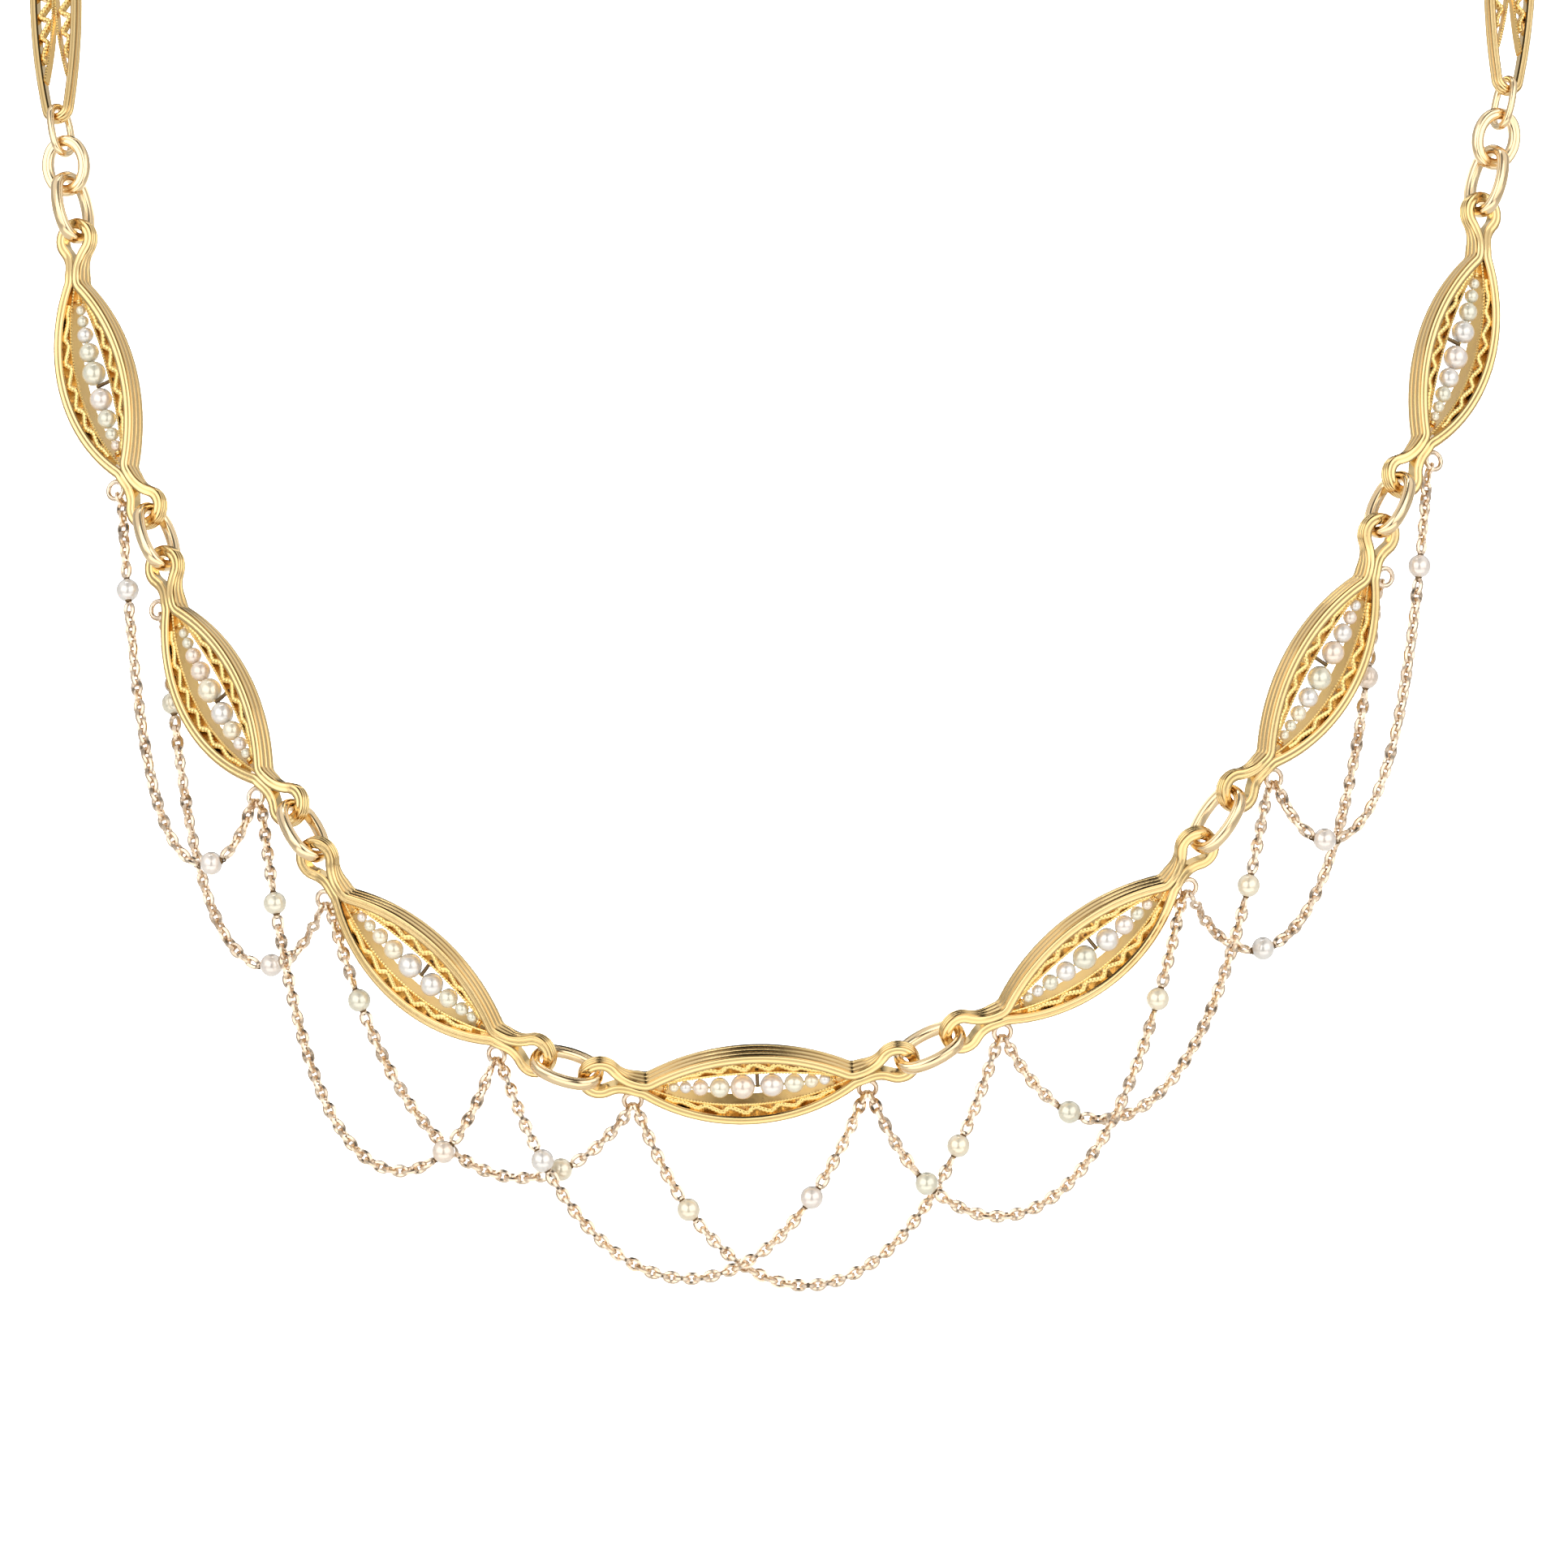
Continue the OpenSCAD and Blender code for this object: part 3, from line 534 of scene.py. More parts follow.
def beaded_strip(path, z_low, z_high):
    """Thin strip on edge with a row of beads along its front, each as wide as
    r = bead * (0.5 + 0.5 |sin(pi s / pitch)| ^ 0.7)."""
    half = STRIP_DRAWN / 2
    shape = np.array([[-half, z_low], [half, z_low], [half, z_high], [-half, z_high]])
    run = length_along(path)
    s = np.linspace(0, run[-1], int(run[-1] / BEAD_PITCH * BEAD_POINTS))
    line = np.column_stack([np.interp(s, run, path[:, i]) for i in (0, 1)])
    swell = BEAD_R * (0.5 + 0.5 * np.abs(np.sin(math.pi * s / BEAD_PITCH)) ** 0.7)
    beads = circle(1.0, 6)[None] * swell[:, None, None]
    return [
        (*sweep(flat(path), side_of(path), straight_up(path), shape), STRIP),
        (*sweep(flat(line, z_high), side_of(line), straight_up(line), beads), FILIGREE),
    ]


WIRE_END, WIRE_R, ROW_FRONT = 8.05, 0.09, 0.3
ROW_PEARLS = (0.72, 0.86, 1.2, 1.5, 1.84, 1.74, 1.44, 1.02, 0.8)
PEARL_GAP, POST_GAP, POST_AFTER, POST_R = 0.12, 0.46, 4, 0.16
COLLAR_HALF, COLLAR_RADII = 0.18, (0.26, 0.35, 0.35, 0.28, 0.35, 0.35, 0.26)
row_gaps = [POST_GAP if i == POST_AFTER else PEARL_GAP for i in range(len(ROW_PEARLS))]
row_length = sum(ROW_PEARLS) + sum(row_gaps) - row_gaps[-1]
pearl_places = [
    sum(ROW_PEARLS[:i]) + sum(row_gaps[:i]) + ROW_PEARLS[i] / 2 - row_length / 2
    for i in range(len(ROW_PEARLS))
]
SOLDER_R, SOLDER_WIRE, SOLDER_SUNK = 0.68, 0.2, 0.12
solder_out = NECK_OFF + BAND_W / 2 + SOLDER_R + SOLDER_WIRE - SOLDER_SUNK
solder_at = np.array([NECK_HALF + solder_out * math.sin(EYE_TURN), -solder_out * math.cos(EYE_TURN), 0.0])


def wire_point(s):
    """Place on the bowed wire of the pearls, at distance s from its middle, and its run."""
    r = (WIRE_END**2 + ROW_BOW**2) / (2 * ROW_BOW)
    a = s / r
    at = np.array([r * math.sin(a), r - ROW_BOW - r * math.cos(a), ROW_FRONT])
    return at, np.array([math.cos(a), math.sin(a), 0.0])


def panel_surfaces(left_ring, right_ring):
    """All the metal of one pearl panel, in its own axes."""
    surfaces = [panel_band()]
    for side in (1, -1):
        r, below, _ = bow(side)
        strip_r, strip_c = strip_arc(side)
        x = np.linspace(-RIBBON_END, RIBBON_END, RIBBON_POINTS)
        low = arc_height(side, strip_r + STRIP_T / 2, strip_c, x)
        high = arc_height(side, r - BAND_W / 2, -side * below, x)
        surfaces.append(ribbon(x, low, high, RIBBON_T, RIBBON_BACK - BAND_D / 2, BAND_D / 2 - RIBBON_FRONT))
        x = np.linspace(-STRIP_END, STRIP_END, STRIP_POINTS)
        path = np.column_stack([x, arc_height(side, strip_r, strip_c, x)])
        surfaces += beaded_strip(path, STRIP_BACK - BAND_D / 2, BAND_D / 2 - STRIP_FRONT)
    line = np.array([wire_point(s)[0] for s in np.linspace(-WIRE_END, WIRE_END, 40)])
    wire = sweep(line, side_of(line[:, :2]), straight_up(line), circle(WIRE_R, 8))
    surfaces.append((*wire, FILIGREE))
    for m in (-1, 1):
        at, run = wire_point(m * (row_length / 2 + PEARL_GAP + COLLAR_HALF))
        collar = rod(at - COLLAR_HALF * run, at + COLLAR_HALF * run, COLLAR_RADII, 14)
        surfaces.append((*collar, BAND))
    at, run = wire_point(pearl_places[POST_AFTER] + (ROW_PEARLS[POST_AFTER] + POST_GAP) / 2)
    across = np.array([-run[1], run[0], 0.0])
    surfaces.append((*rod(at, at + (OPENING_HALF + STRIP_T) * across, (POST_R, POST_R), 8), DARK))
    for wanted, m in ((left_ring, -1), (right_ring, 1)):
        if wanted:
            ring = torus(solder_at * [m, 1, 1], SOLDER_R, SOLDER_R, SOLDER_WIRE, 28, 12)
            surfaces.append((*ring, CHAIN))
    return joined(surfaces)


panels = of_kind("panel")
for k, place in enumerate(panels):
    add_piece(
        f"gold_panel_{k + 1}",
        placed(panel_surfaces(k > 0, k < len(panels) - 1), place),
        PANEL_METALS,
        f"pearl_panel_{k + 1}",
    )


# Pearls of the panels
# Nine drilled pearls threaded on each wire, largest in the middle, none quite round and
# each with its own tint

rng = np.random.default_rng(7)
PEARL_TINTS = ("#ede2c9", "#e9dfd5", "#e5e0d9", "#e7e0ca", "#e1dcc7", "#ecdccb")
PEARL_SWELL, UNEVEN, DRILL_TURN = 0.1, 0.012, 0.02
# Noise scale per metre: clouds of about 1 mm in the nacre
NACRE_CLOUD = 900.0


def nacre_material():
    """Pearl: the tint painted on each pearl, a soft body and a clear lustrous skin."""
    m, tree, shader = new_material("nacre")
    tint = node(tree, "ShaderNodeAttribute", attribute_name="tint")
    where = node(tree, "ShaderNodeTexCoord")
    spot = ("Vector", where.outputs["Object"])
    cloud = node(tree, "ShaderNodeTexNoise", [spot], Scale=NACRE_CLOUD, Detail=2.0)
    veil = node(tree, "ShaderNodeMapRange", [("Value", cloud.outputs["Fac"])])
    veil.inputs["To Min"].default_value = 0.88
    veil.inputs["To Max"].default_value = 1.06
    shade = node(
        tree,
        "ShaderNodeMix",
        [("A", tint.outputs["Color"]), ("B", veil.outputs["Result"])],
        data_type="RGBA",
        blend_type="MULTIPLY",
    )
    shade.inputs["Factor"].default_value = 1.0
    tree.links.new(shade.outputs["Result"], shader.inputs["Base Color"])
    shader.inputs["Roughness"].default_value = 0.14
    shader.inputs["Metallic"].default_value = 0.3
    shader.inputs["Subsurface Weight"].default_value = 0.2
    shader.inputs["Subsurface Radius"].default_value = (0.0006, 0.0005, 0.0004)
    shader.inputs["Subsurface Scale"].default_value = 1.0
    shader.inputs["Coat Weight"].default_value = 1.0
    shader.inputs["Coat Roughness"].default_value = 0.08
    return m


# Nacre of small natural pearls: cream, grey and pink bodies under a bright skin
NACRE = nacre_material()


def pearl(diameter, around=32):
    """Slightly uneven ball: r = d/2 * (1 + uneven * (sin(2t + a) + sin(p + b) sin t))."""
    rows = around // 2
    t = np.linspace(DRILL_TURN, math.pi - DRILL_TURN, rows)[:, None]
    p = np.arange(around)[None, :] * 2 * math.pi / around
    a, b = rng.uniform(0, 6.28, 2)
    r = diameter / 2 * (1 + UNEVEN * np.sin(2 * t + a) + UNEVEN * np.sin(p + b) * np.sin(t))
    ball = np.stack([r * np.cos(t) + 0 * p, r * np.sin(t) * np.cos(p), r * np.sin(t) * np.sin(p)], axis=2)
    return grid(ball, cap=True)


def tint_of(count):
    """The colour of one pearl, at each of its points."""
    code = PEARL_TINTS[int(rng.integers(len(PEARL_TINTS)))]
    return np.tile(linear(code), (count, 1))


for k, place in enumerate(panels):
    surfaces, tints = [], []
    for s, d in zip(pearl_places, ROW_PEARLS):
        at, run = wire_point(s)
        turn = np.array([run, [-run[1], run[0], 0.0], [0.0, 0.0, 1.0]])
        p, f = pearl(d + PEARL_SWELL)
        surfaces.append((p @ turn + at, f, 0))
        tints.append(tint_of(len(p)))
    add_piece(
        f"panel_pearls_{k + 1}",
        placed(joined(surfaces), place),
        [NACRE],
        f"pearl_row_{k + 1}",
        np.concatenate(tints),
    )


# Oval links and rings
# Broad polished wire bent to ovals and rounder rings and soldered shut, with a smooth
# outside and a groove near each edge of its faces

# Rose gold, polished smooth: paler than the panels
LINK_GOLD = gold_material("polished_rose_gold", "#f6e0ba", "#e8c898", 0.15, 0.1, 0.15)
LINK_SIZES = {"oval": OVAL_SIZE, "ring": RING_SIZE, "small": SMALL_SIZE}
# The drawn wire is fuller than the solids, which leave room for their gaps
FULLER_W, FULLER_D = 1.2, 1.1
END_ROUND, LINK_STEP = 0.9, 0.14


def link_outline(w, d):
    """Outline of link wire: convex outside, grooved faces, softly rounded inside."""
    half = [
        [-w / 2, 0.0], [-w / 2, 0.24 * d], [-0.44 * w, 0.36 * d], [-0.3 * w, 0.45 * d],
        [-0.16 * w, 0.49 * d], [-0.06 * w, 0.46 * d], [0.02 * w, 0.44 * d], [0.1 * w, 0.46 * d],
        [0.2 * w, 0.5 * d], [0.32 * w, 0.46 * d], [0.42 * w, 0.36 * d], [0.48 * w, 0.2 * d],
    ]
    tip = [[w / 2, 0.0]]
    return np.array(half + tip + [[r, -z] for r, z in half[:0:-1]])


def oval(size):
    """Oval link whose ends are arcs of 0.9 of its half width, joined by flatter arcs."""
    reach, width, w, d = size
    a, b = (reach + HOOK_GAP + w) / 2, (width - w) / 2
    end_r = END_ROUND * b
    side_r = ((a - end_r) ** 2 + b * b - end_r**2) / (2 * (b - end_r))
    turn = np.array([a - end_r, side_r - b])
    rows = [
        arc(np.array([a - end_r, 0]), end_r, turn * [1, -1], turn, LINK_STEP),
        arc(np.array([0, b - side_r]), side_r, turn, turn * [-1, 1], LINK_STEP),
        arc(np.array([end_r - a, 0]), end_r, turn * [-1, 1], turn * [-1, -1], LINK_STEP),
        arc(np.array([0, side_r - b]), side_r, turn * [-1, -1], turn * [1, -1], LINK_STEP),
    ]
    line = np.concatenate([p for p, _ in rows])
    out = np.concatenate([n for _, n in rows])
    section = link_outline(FULLER_W * w, FULLER_D * d)
    return sweep(flat(line), flat(out), straight_up(line), section, close=True)


def add_links(name, items, stands_for):
    """One piece made of the links at these places."""
    surfaces = []
    for place in items:
        p, f = oval(LINK_SIZES[place[0]])
        surfaces.append((seated(p, place), f, 0))
    add_piece(name, joined(surfaces), [LINK_GOLD], stands_for)


ovals, rings, smalls = of_kind("oval"), of_kind("ring"), of_kind("small")
for k, place in enumerate(ovals[1:-1]):
    add_links(f"oval_link_{k + 1}", [place], f"front_link_{k + 1}")
# Sets 4 and 5 start with the oval link of the last pearl panel on their side
link_sets = [[rings[k], smalls[2 * k], smalls[2 * k + 1]] for k in range(3)]
link_sets += [[rings[3], ovals[0], smalls[6]], [rings[4], ovals[-1], smalls[7]]]
link_sets += [[rings[k], smalls[2 * k - 2], smalls[2 * k - 1]] for k in (5, 6, 7)]
for k, items in enumerate(link_sets):
    add_links(f"links_{k + 1}", items, f"link_set_{k + 1}")


# Back panels
# Two bows and two rounded tips of a narrower band, with beaded strips back to back along
# the middle and corrugated ribbon soldered on both sides of them

BACK_W, BACK_BAND_W, BACK_BAND_D, TIP_R = 4.3, 0.7, 0.9, 0.92
TIP_STEP, BOW_STEP = 0.15, 0.3
BACK_STRIP_END, BACK_STRIP_GAP, BACK_STRIP_POINTS, BACK_STRIP_SUNK = 7.6, 0.1, 80, 0.1
BACK_RIBBON_T, BACK_RIBBON_END, BACK_RIBBON_POINTS = 0.34, 5.7, 290
BACK_RIBBON_FRONT, BACK_STRIP_FRONT = 0.13, 0.12
back_bulge = (BACK_W - BACK_BAND_W) / 2
tip_x = BACK_REACH / 2 + HOOK_GAP / 2 + BACK_BAND_W / 2 - TIP_R
back_c = (tip_x**2 - (back_bulge - TIP_R) ** 2) / (2 * (back_bulge - TIP_R))
back_r = back_c + back_bulge


def back_surfaces():
    """All the metal of one back panel, in its own axes."""
    join = np.array([tip_x, back_c])
    rows = [
        arc(np.array([tip_x, 0]), TIP_R, join * [1, -1], join, TIP_STEP),
        arc(np.array([0, -back_c]), back_r, join, join * [-1, 1], BOW_STEP),
        arc(np.array([-tip_x, 0]), TIP_R, join * [-1, 1], join * [-1, -1], TIP_STEP),
        arc(np.array([0, back_c]), back_r, join * [-1, -1], join * [1, -1], BOW_STEP),
    ]
    line = np.concatenate([p for p, _ in rows])
    out = np.concatenate([n for _, n in rows])
    section, deep = moulding(BACK_BAND_W, BACK_BAND_D, 2)
    p, f = sweep(flat(line), flat(out), straight_up(line), section, close=True)
    # Painted shade where the reeds of the band meet, as on the pearl panels
    surfaces = [(p, f, BAND, np.tile(deep, len(line)))]
    end, gap, wall_r = BACK_STRIP_END, BACK_STRIP_GAP, back_r - BACK_BAND_W / 2
    rise = math.sqrt(wall_r**2 - end**2) - back_c - gap - STRIP_T / 2 + BACK_STRIP_SUNK
    strip_r = (end**2 + rise**2) / (2 * rise)
    for side in (1, -1):
        x = np.linspace(-BACK_RIBBON_END, BACK_RIBBON_END, BACK_RIBBON_POINTS)
        low = side * (gap + STRIP_T / 2 + strip_r - np.sqrt((strip_r - STRIP_T / 2) ** 2 - x * x))
        high = side * (np.sqrt(wall_r**2 - x * x) - back_c)
        z_back, z_front = RIBBON_BACK - BACK_BAND_D / 2, BACK_BAND_D / 2 - BACK_RIBBON_FRONT
        surfaces.append(ribbon(x, low, high, BACK_RIBBON_T, z_back, z_front))
        x = np.linspace(-end, end, BACK_STRIP_POINTS)
        path = np.column_stack([x, side * (gap + strip_r - np.sqrt(strip_r**2 - x * x))])
        surfaces += beaded_strip(path, STRIP_BACK - BACK_BAND_D / 2, BACK_BAND_D / 2 - BACK_STRIP_FRONT)
    return joined(surfaces)


for k, place in enumerate(of_kind("back")):
    add_piece(
        f"filigree_panel_{k + 1}",
        placed(back_surfaces(), place),
        PANEL_METALS[:3],
        f"back_panel_{k + 1}",
    )


# Clasp
# Plain turned barrel of yellow gold, with a bead at each end and a wire loop that the
# last link hooks into

LOOP_R, LOOP_WIRE, BARREL_LAP = 1.25, 0.2, 0.45
BARREL_RADII = (
    0.5, 0.85, 0.95, 0.95, 0.9, 1.2, 1.34, 1.4, 1.4, 1.3,
    1.28, 1.4, 1.4, 1.34, 1.2, 0.9, 0.95, 0.95, 0.85, 0.5,
)
across = unit(right_end - left_end)
last_normals = smalls[0][2][2] + smalls[-1][2][2]
clasp_face = unit(np.cross(across, last_normals))
clasp_place = ("clasp", nape, np.array([across, np.cross(clasp_face, across), clasp_face]))
loop_x = np.linalg.norm(right_end - left_end) / 2 + HOOK_GAP / 2 + LOOP_WIRE - LOOP_R
barrel_end = np.array([loop_x - LOOP_R + BARREL_LAP, 0, 0])
clasp_surfaces = [
    (*rod(-barrel_end, barrel_end, BARREL_RADII, 40), 0),
    (*torus(np.array([loop_x, 0, 0]), LOOP_R, LOOP_R, LOOP_WIRE, 40, 12), 0),
    (*torus(np.array([-loop_x, 0, 0]), LOOP_R, LOOP_R, LOOP_WIRE, 40, 12), 0),
]
add_piece("barrel_clasp", placed(joined(clasp_surfaces), clasp_place), [BAND_GOLD], "clasp")


# Festoons
# Ten swags of fine rose gold trace chain, each hanging as a catenary from one soldered
# ring to the next but one. Every second link is turned a quarter, and each chain carries
# two drilled pearls on wire eyes

# Each row: length of the chain, places of its two pearls along it, and how far its middle
# lies in front of the straight line from ring to ring, or behind it if below 0. Lengths and
# places were fitted by another program to points read off the photo
SWAG_ROWS = (
    (35.5, 6.7, 30.3, 0.9), (35, 6.2, 29.3, -3.5), (42.5, 7.2, 35.1, 0.9),
    (36.5, 7.0, 29.8, -0.9), (43, 7.7, 34.7, 0.9), (44.5, 8.3, 36.3, -0.9),
    (43.5, 7.5, 35.8, 0.9), (39.5, 7.0, 32.2, -0.9), (37, 7.0, 30.3, -4.2),
    (36, 5.2, 28.9, 0.9),
)
RING_DROP, RING_SIDE, LAYER_RUN, LAYER_START = 1.08, 0.5, 3.5, 0.15
TRACE_PITCH, TRACE_WIDE, TRACE_WIRE, TRACE_SIDES = 0.76, 1.08, 0.36, 6
END_RUN, PEARL_ROOM, NEARBY = 0.05, 0.36, 0.05
# Turn of the links about the chain: degrees at the middle of the necklace, degrees more
# for each swag away from it, and a chance turn of each link in radians
FACE_TURN, SWAG_TURN, LOOSE_TURN = 6, 7, 0.2
HOOK_LONG, HOOK_WIDE, HOOK_DROP = 0.5, 0.3, 0.18
SWAG_PEARL = 1.6
WIRE_EYE_OUT, WIRE_EYE_SIZE, WIRE_EYE_R, WIRE_EYE_ROLL = 0.2, (0.2, 0.17), 0.07, 0.6
CAP_FROM, CAP_TO, CAP_RADII = 0.84, 0.96, (0.32, 0.22)
swag_middle = (len(SWAG_ROWS) - 1) / 2


def ring_middle(j):
    """Middle of soldered ring j, counted from the left."""
    p = panels[j // 2]
    e = 1 if j % 2 else -1
    return p[1] + (solder_at * [e, 1, 1]) @ p[2]


def hang(k):
    """Swag k, a catenary y = a cosh((x - x0) / a) whose a is found by halving until it is
    as long as the chain. Returns a function from distance along it to a point."""
    length, _, _, layer = SWAG_ROWS[k]
    p = ring_middle(k + 1) + [RING_SIDE, -RING_DROP, 0]
    q = ring_middle(k + 3) + [-RING_SIDE, -RING_DROP, 0]
    du, dv, dw = q - p
    ratio = math.sqrt(length**2 - dv**2) / du
    low, high = 0.01, 9.0
    for _ in range(50):
        mid = (low + high) / 2
        low, high = (mid, high) if math.sinh(mid) / mid < ratio else (low, mid)
    a = du / 2 / low
    x0 = (p[0] + q[0]) / 2 - a * math.atanh(dv / length)
    start = math.sinh((p[0] - x0) / a)

    def at(s):
        s = np.asarray(s, dtype=float)
        x = x0 + a * np.arcsinh(s / a + start)
        y = p[1] + a * (np.cosh((x - x0) / a) - np.cosh((p[0] - x0) / a))
        e = np.clip(np.minimum(s, length - s) / LAYER_RUN, 0, 1)
        z = p[2] + dw * s / length + layer * (LAYER_START + (1 - LAYER_START) * e * (2 - e))
        return np.stack([x, y, z], axis=-1)

    return at


def chain_axes(at, s):
    """Place and axes of something on the chain: along it, across it and to the viewer."""
    run = unit(at(s + NEARBY) - at(s - NEARBY))
    side = unit(np.cross([0.0, 0.0, 1.0], run))
    return at(s), np.array([run, side, np.cross(run, side)])


def rolled(frame_axes, angle):
    """The axes turned about the chain's own run."""
    run, side, out = frame_axes
    c, s = math.cos(angle), math.sin(angle)
    return np.array([run, c * side + s * out, c * out - s * side])


def chain_links(at, stretches, roll):
    """Interlocking links along each stretch of a chain, turned a quarter one by one."""
    half_long, half_wide = (TRACE_PITCH + TRACE_WIRE) / 2, (TRACE_WIDE - TRACE_WIRE) / 2
    ring, faces = torus(np.zeros(3), half_long, half_wide, TRACE_WIRE / 2, 14, TRACE_SIDES)
    surfaces = []
    for start, end in stretches:
        count = round((end - start) / TRACE_PITCH)
        pitch = (end - start) / count
        for i in range(count):
            middle, a = chain_axes(at, start + pitch * (i + 0.5))
            quarter = math.pi / 2 if i % 2 else 0
            a = rolled(a, roll + quarter + rng.uniform(-LOOSE_TURN, LOOSE_TURN))
            p = ring * [pitch / TRACE_PITCH, 1, 1]
            surfaces.append((seated(p, ("link", middle, a)), faces, 0))
    return surfaces


def ring_hook(end, j):
    """Link from the end of a chain to soldered ring j, in the plane of its panel."""
    ring = ring_middle(j)
    panel_face = panels[j // 2][2][2]
    rise = unit(ring - end)
    face = unit(panel_face - (panel_face @ rise) * rise)
    middle = (end + ring) / 2 - HOOK_DROP * rise
    p, f = torus(np.zeros(3), HOOK_LONG, HOOK_WIDE, TRACE_WIRE / 2, 16, TRACE_SIDES)
    return seated(p, ("link", middle, np.array([rise, face, np.cross(rise, face)]))), f, 0


def pearl_fittings(middle, a):
    """Wire eye and dark cap at each side of a pearl on the chain."""
    surfaces = []
    for m in (-1, 1):
        eye_middle = np.array([m * (SWAG_PEARL / 2 + WIRE_EYE_OUT), 0, 0])
        p, f = torus(eye_middle, *WIRE_EYE_SIZE, WIRE_EYE_R, 14, 6)
        surfaces.append((seated(p, ("link", middle, rolled(a, WIRE_EYE_ROLL))), f, 1))
        p, f = rod(np.array([m * CAP_FROM, 0, 0]), np.array([m * CAP_TO, 0, 0]), CAP_RADII, 10)
        surfaces.append((seated(p, ("link", middle, a)), f, 1))
    return surfaces


for k, (length, first, second, _) in enumerate(SWAG_ROWS):
    at = hang(k)
    room = SWAG_PEARL / 2 + PEARL_ROOM
    stretches = (
        (-END_RUN, first - room),
        (first + room, second - room),
        (second + room, length + END_RUN),
    )
    roll = math.radians(FACE_TURN + SWAG_TURN * abs(k - swag_middle))
    surfaces = chain_links(at, stretches, roll)
    surfaces += [ring_hook(at(0.0), k + 1), ring_hook(at(length), k + 3)]
    for s in (first, second):
        surfaces += pearl_fittings(*chain_axes(at, s))
    add_piece(
        f"trace_chain_{k + 1}",
        joined(surfaces),
        [CHAIN_GOLD, DARK_WIRE],
        f"festoon_chain_{k + 1}",
    )
    surfaces, tints = [], []
    for s in (first, second):
        middle, a = chain_axes(at, s)
        p, f = pearl(SWAG_PEARL + 2 * PEARL_SWELL, 40)
        surfaces.append((seated(p, ("pearl", middle, a)), f, 0))
        tints.append(tint_of(len(p)))
    add_piece(
        f"chain_pearls_{k + 1}",
        joined(surfaces),
        [NACRE],
        f"festoon_pearls_{k + 1}",
        np.concatenate(tints),
    )


# Floor, light and camera
# A pale plain floor below the necklace, a pale studio all round, big soft boxes, and a long
# lens that looks along the photo's own line of sight

FLOOR_DROP = 0.35
floor_mesh = bpy.data.meshes.new("floor")
floor_points = [(-6, -6, 0), (6, -6, 0), (6, 6, 0), (-6, 6, 0)]
floor_mesh.from_pydata(floor_points, [], [(0, 1, 2, 3)])
floor = bpy.data.objects.new("floor", floor_mesh)
floor.location.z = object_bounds()[0][2] - FLOOR_DROP
floor_paint, floor_tree, floor_shader = new_material("plain_floor")
floor_where = node(floor_tree, "ShaderNodeTexCoord")
floor_noise = node(floor_tree, "ShaderNodeTexNoise", [("Vector", floor_where.outputs["Object"])], Scale=3.0)
floor_mix = node(floor_tree, "ShaderNodeMix", [("Factor", floor_noise.outputs["Fac"])], data_type="RGBA")
floor_mix.inputs["A"].default_value = linear("#dcdcda")
floor_mix.inputs["B"].default_value = linear("#e2e2e0")
floor_tree.links.new(floor_mix.outputs["Result"], floor_shader.inputs["Base Color"])
floor_shader.inputs["Roughness"].default_value = 0.9
floor_shader.inputs["Emission Color"].default_value = linear("#ffffff")
floor_shader.inputs["Emission Strength"].default_value = 0.05
floor_mesh.materials.append(floor_paint)
bpy.context.scene.collection.objects.link(floor)

# Studio round the necklace: (share of the height from straight down to straight up, grey),
# with a dark gap from front to back over the middle, for dark lines on polished curves
STUDIO_BANDS = (
    (0.0, 0.8), (0.46, 0.75), (0.51, 0.7), (0.55, 0.4), (0.59, 0.4),
    (0.65, 0.9), (0.8, 1.0), (0.92, 0.9), (1.0, 0.3),
)
GAP_FROM, GAP_TO, GAP_LIGHT = 0.1, 0.25, 0.08
world = bpy.data.worlds.new("studio")
bpy.context.scene.world = world
world.use_nodes = True
studio = world.node_tree
direction = node(studio, "ShaderNodeTexCoord")
heights = node(studio, "ShaderNodeSeparateXYZ", [("Vector", direction.outputs["Generated"])])
share = node(studio, "ShaderNodeMapRange", [("Value", heights.outputs["Z"])])
share.inputs["From Min"].default_value = -1.0
bands = node(studio, "ShaderNodeValToRGB", [("Fac", share.outputs["Result"])])
ramp = bands.color_ramp
while len(ramp.elements) < len(STUDIO_BANDS):
    ramp.elements.new(0.5)
for element, (up_share, grey) in zip(ramp.elements, STUDIO_BANDS):
    element.position = up_share
    element.color = (grey, grey, grey, 1.0)
aside = node(studio, "ShaderNodeMath", operation="ABSOLUTE")
studio.links.new(heights.outputs["X"], aside.inputs[0])
dark_gap = node(studio, "ShaderNodeMapRange", [("Value", aside.outputs["Value"])])
dark_gap.inputs["From Min"].default_value = GAP_FROM
dark_gap.inputs["From Max"].default_value = GAP_TO
dark_gap.inputs["To Min"].default_value = GAP_LIGHT
dark_gap.inputs["To Max"].default_value = 1.0
sky = studio.nodes["Background"]
studio.links.new(bands.outputs["Color"], sky.inputs["Color"])
studio.links.new(dark_gap.outputs["Result"], sky.inputs["Strength"])


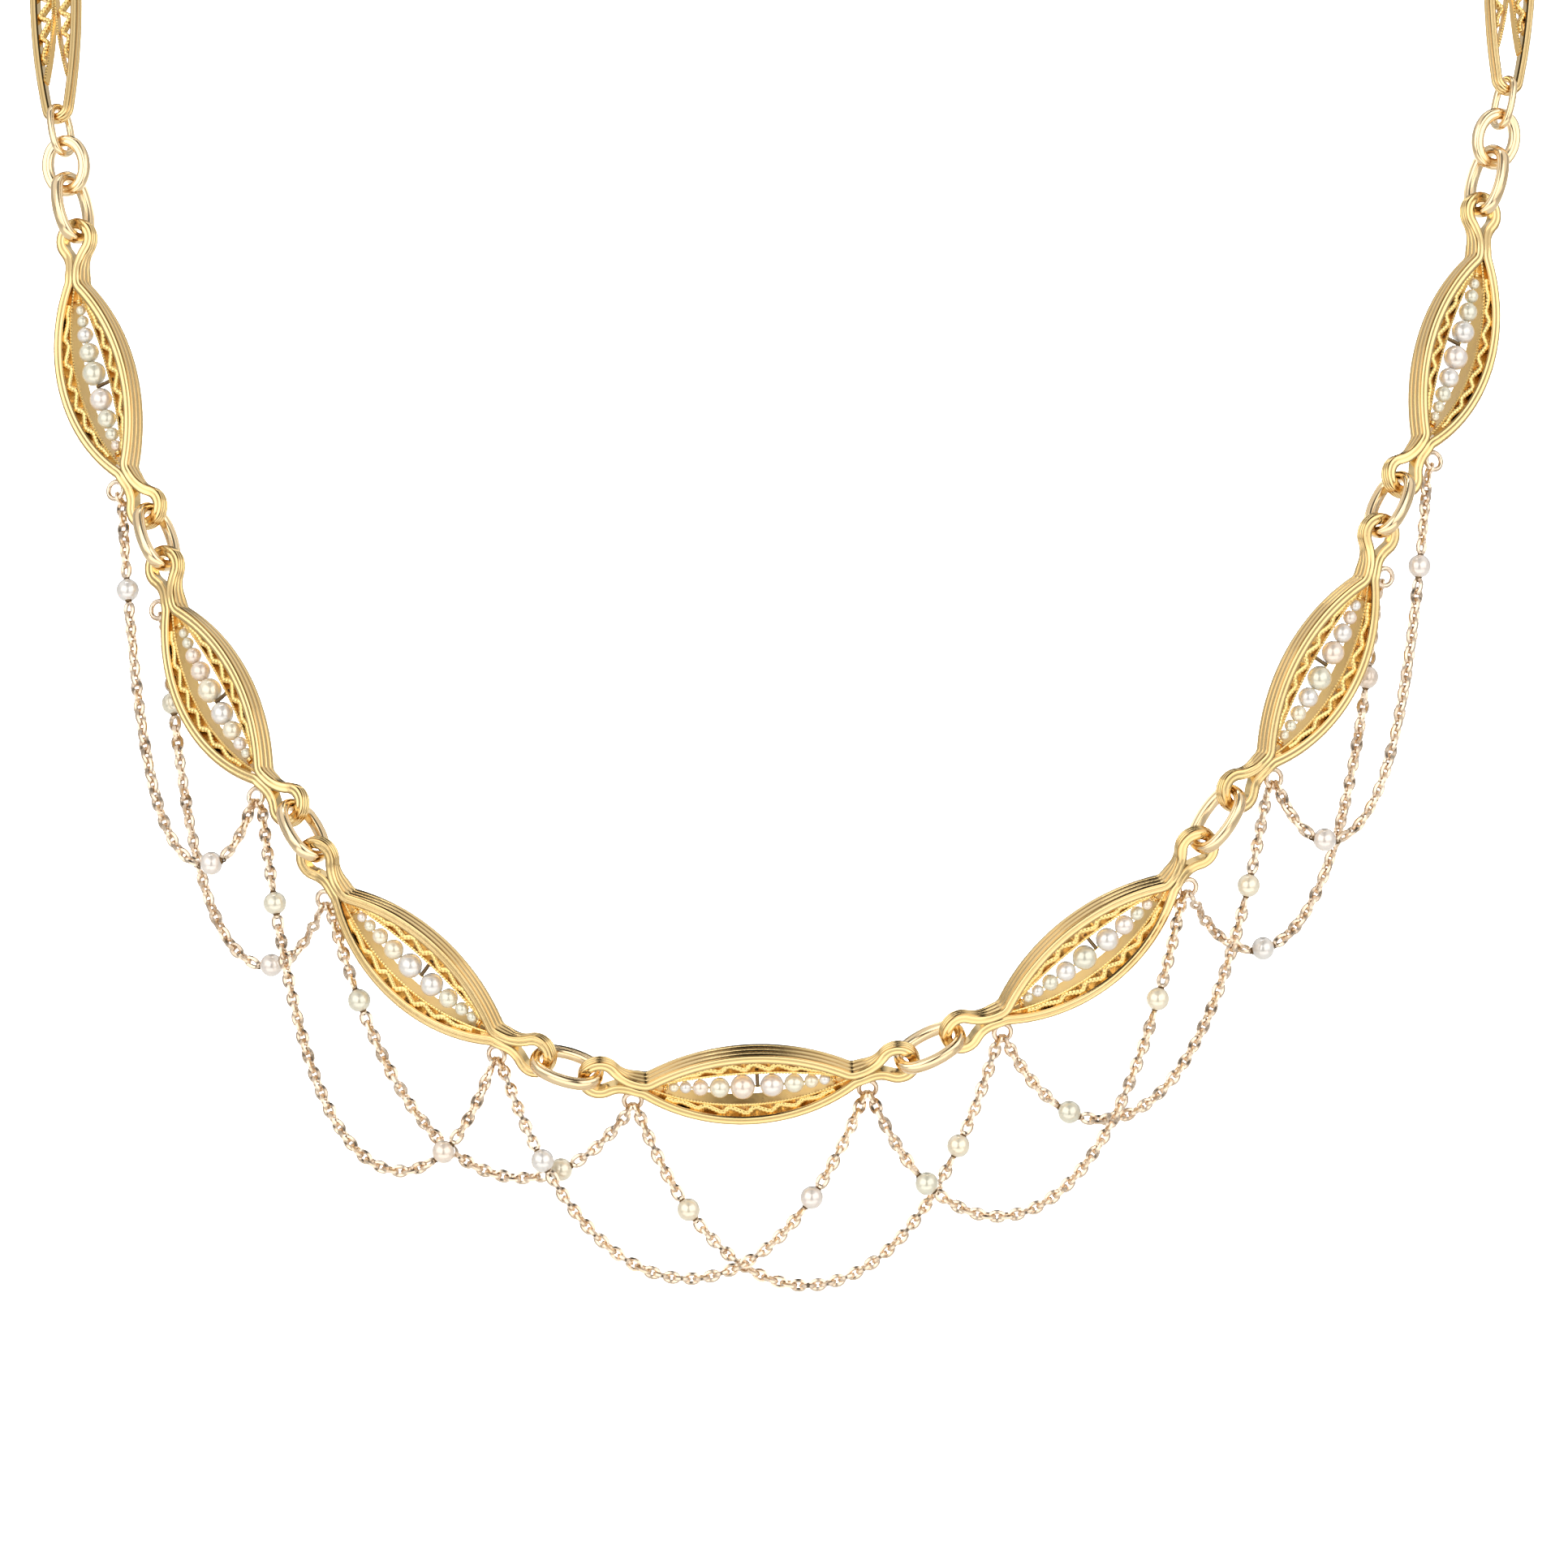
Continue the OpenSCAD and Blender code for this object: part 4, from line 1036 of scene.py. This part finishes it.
def add_light(name, at, aim, width, height, power):
    """Soft light of width by height in metres at a place, aimed at a point; returns it."""
    lamp = bpy.data.lights.new(name, "AREA")
    lamp.shape = "RECTANGLE"
    lamp.size = width
    lamp.size_y = height
    lamp.energy = power
    holder = bpy.data.objects.new(name, lamp)
    holder.location = at
    holder.rotation_euler = (Vector(aim) - Vector(at)).to_track_quat("-Z", "Y").to_euler()
    holder.visible_camera = False
    bpy.context.scene.collection.objects.link(holder)
    return lamp


NECKLACE_MIDDLE = (0.0, -0.06, -0.06)
add_light("left_box", (-0.525, -0.563, 0.36), NECKLACE_MIDDLE, 1.04, 0.9, 3.0)
add_light("right_box", (0.525, -0.563, 0.36), NECKLACE_MIDDLE, 1.04, 0.9, 2.8)
add_light("low_card", (0.0, -0.62, -0.36), NECKLACE_MIDDLE, 1.5, 0.5, 2.2)
add_light("top_box", (-0.1, 0.3, 0.75), NECKLACE_MIDDLE, 0.5, 0.12, 0.6)
# A pool of light on the floor behind the necklace, where the camera looks
pool = (0.0, 0.9, floor.location.z)
pool_light = add_light("pool_light", (0.0, 0.9, floor.location.z + 0.55), pool, 0.9, 0.9, 10.0)
pool_light.spread = math.radians(110)

# The photo's scale, its side in pixels, and the pixel where right and up are 0 in its view
PIXELS_PER_MM, PHOTO_SIDE = 16.0, 1932.0
CENTRE_PX = np.array([960.0, 1328.0])
CAMERA_AWAY, SENSOR = 2.4, 36.0
centre_mm = np.array([PHOTO_SIDE / 2 - CENTRE_PX[0], CENTRE_PX[1] - PHOTO_SIDE / 2]) / PIXELS_PER_MM
target = (np.array([centre_mm[0], centre_mm[1], 0.0]) - nape) @ TO_ROW.T * 0.001
view_dir = np.array([0.0, 0.0, 1.0]) @ TO_ROW.T
camera_data = bpy.data.cameras.new("camera")
camera_data.sensor_width = SENSOR
camera_data.lens = SENSOR * CAMERA_AWAY / (PHOTO_SIDE / PIXELS_PER_MM * 0.001)
camera_data.clip_end = 50
camera = bpy.data.objects.new("camera", camera_data)
camera.location = target + view_dir * CAMERA_AWAY
camera.rotation_euler = Vector(-view_dir).to_track_quat("-Z", "Y").to_euler()
bpy.context.scene.collection.objects.link(camera)
bpy.context.scene.camera = camera
bpy.context.scene.view_settings.view_transform = "Standard"
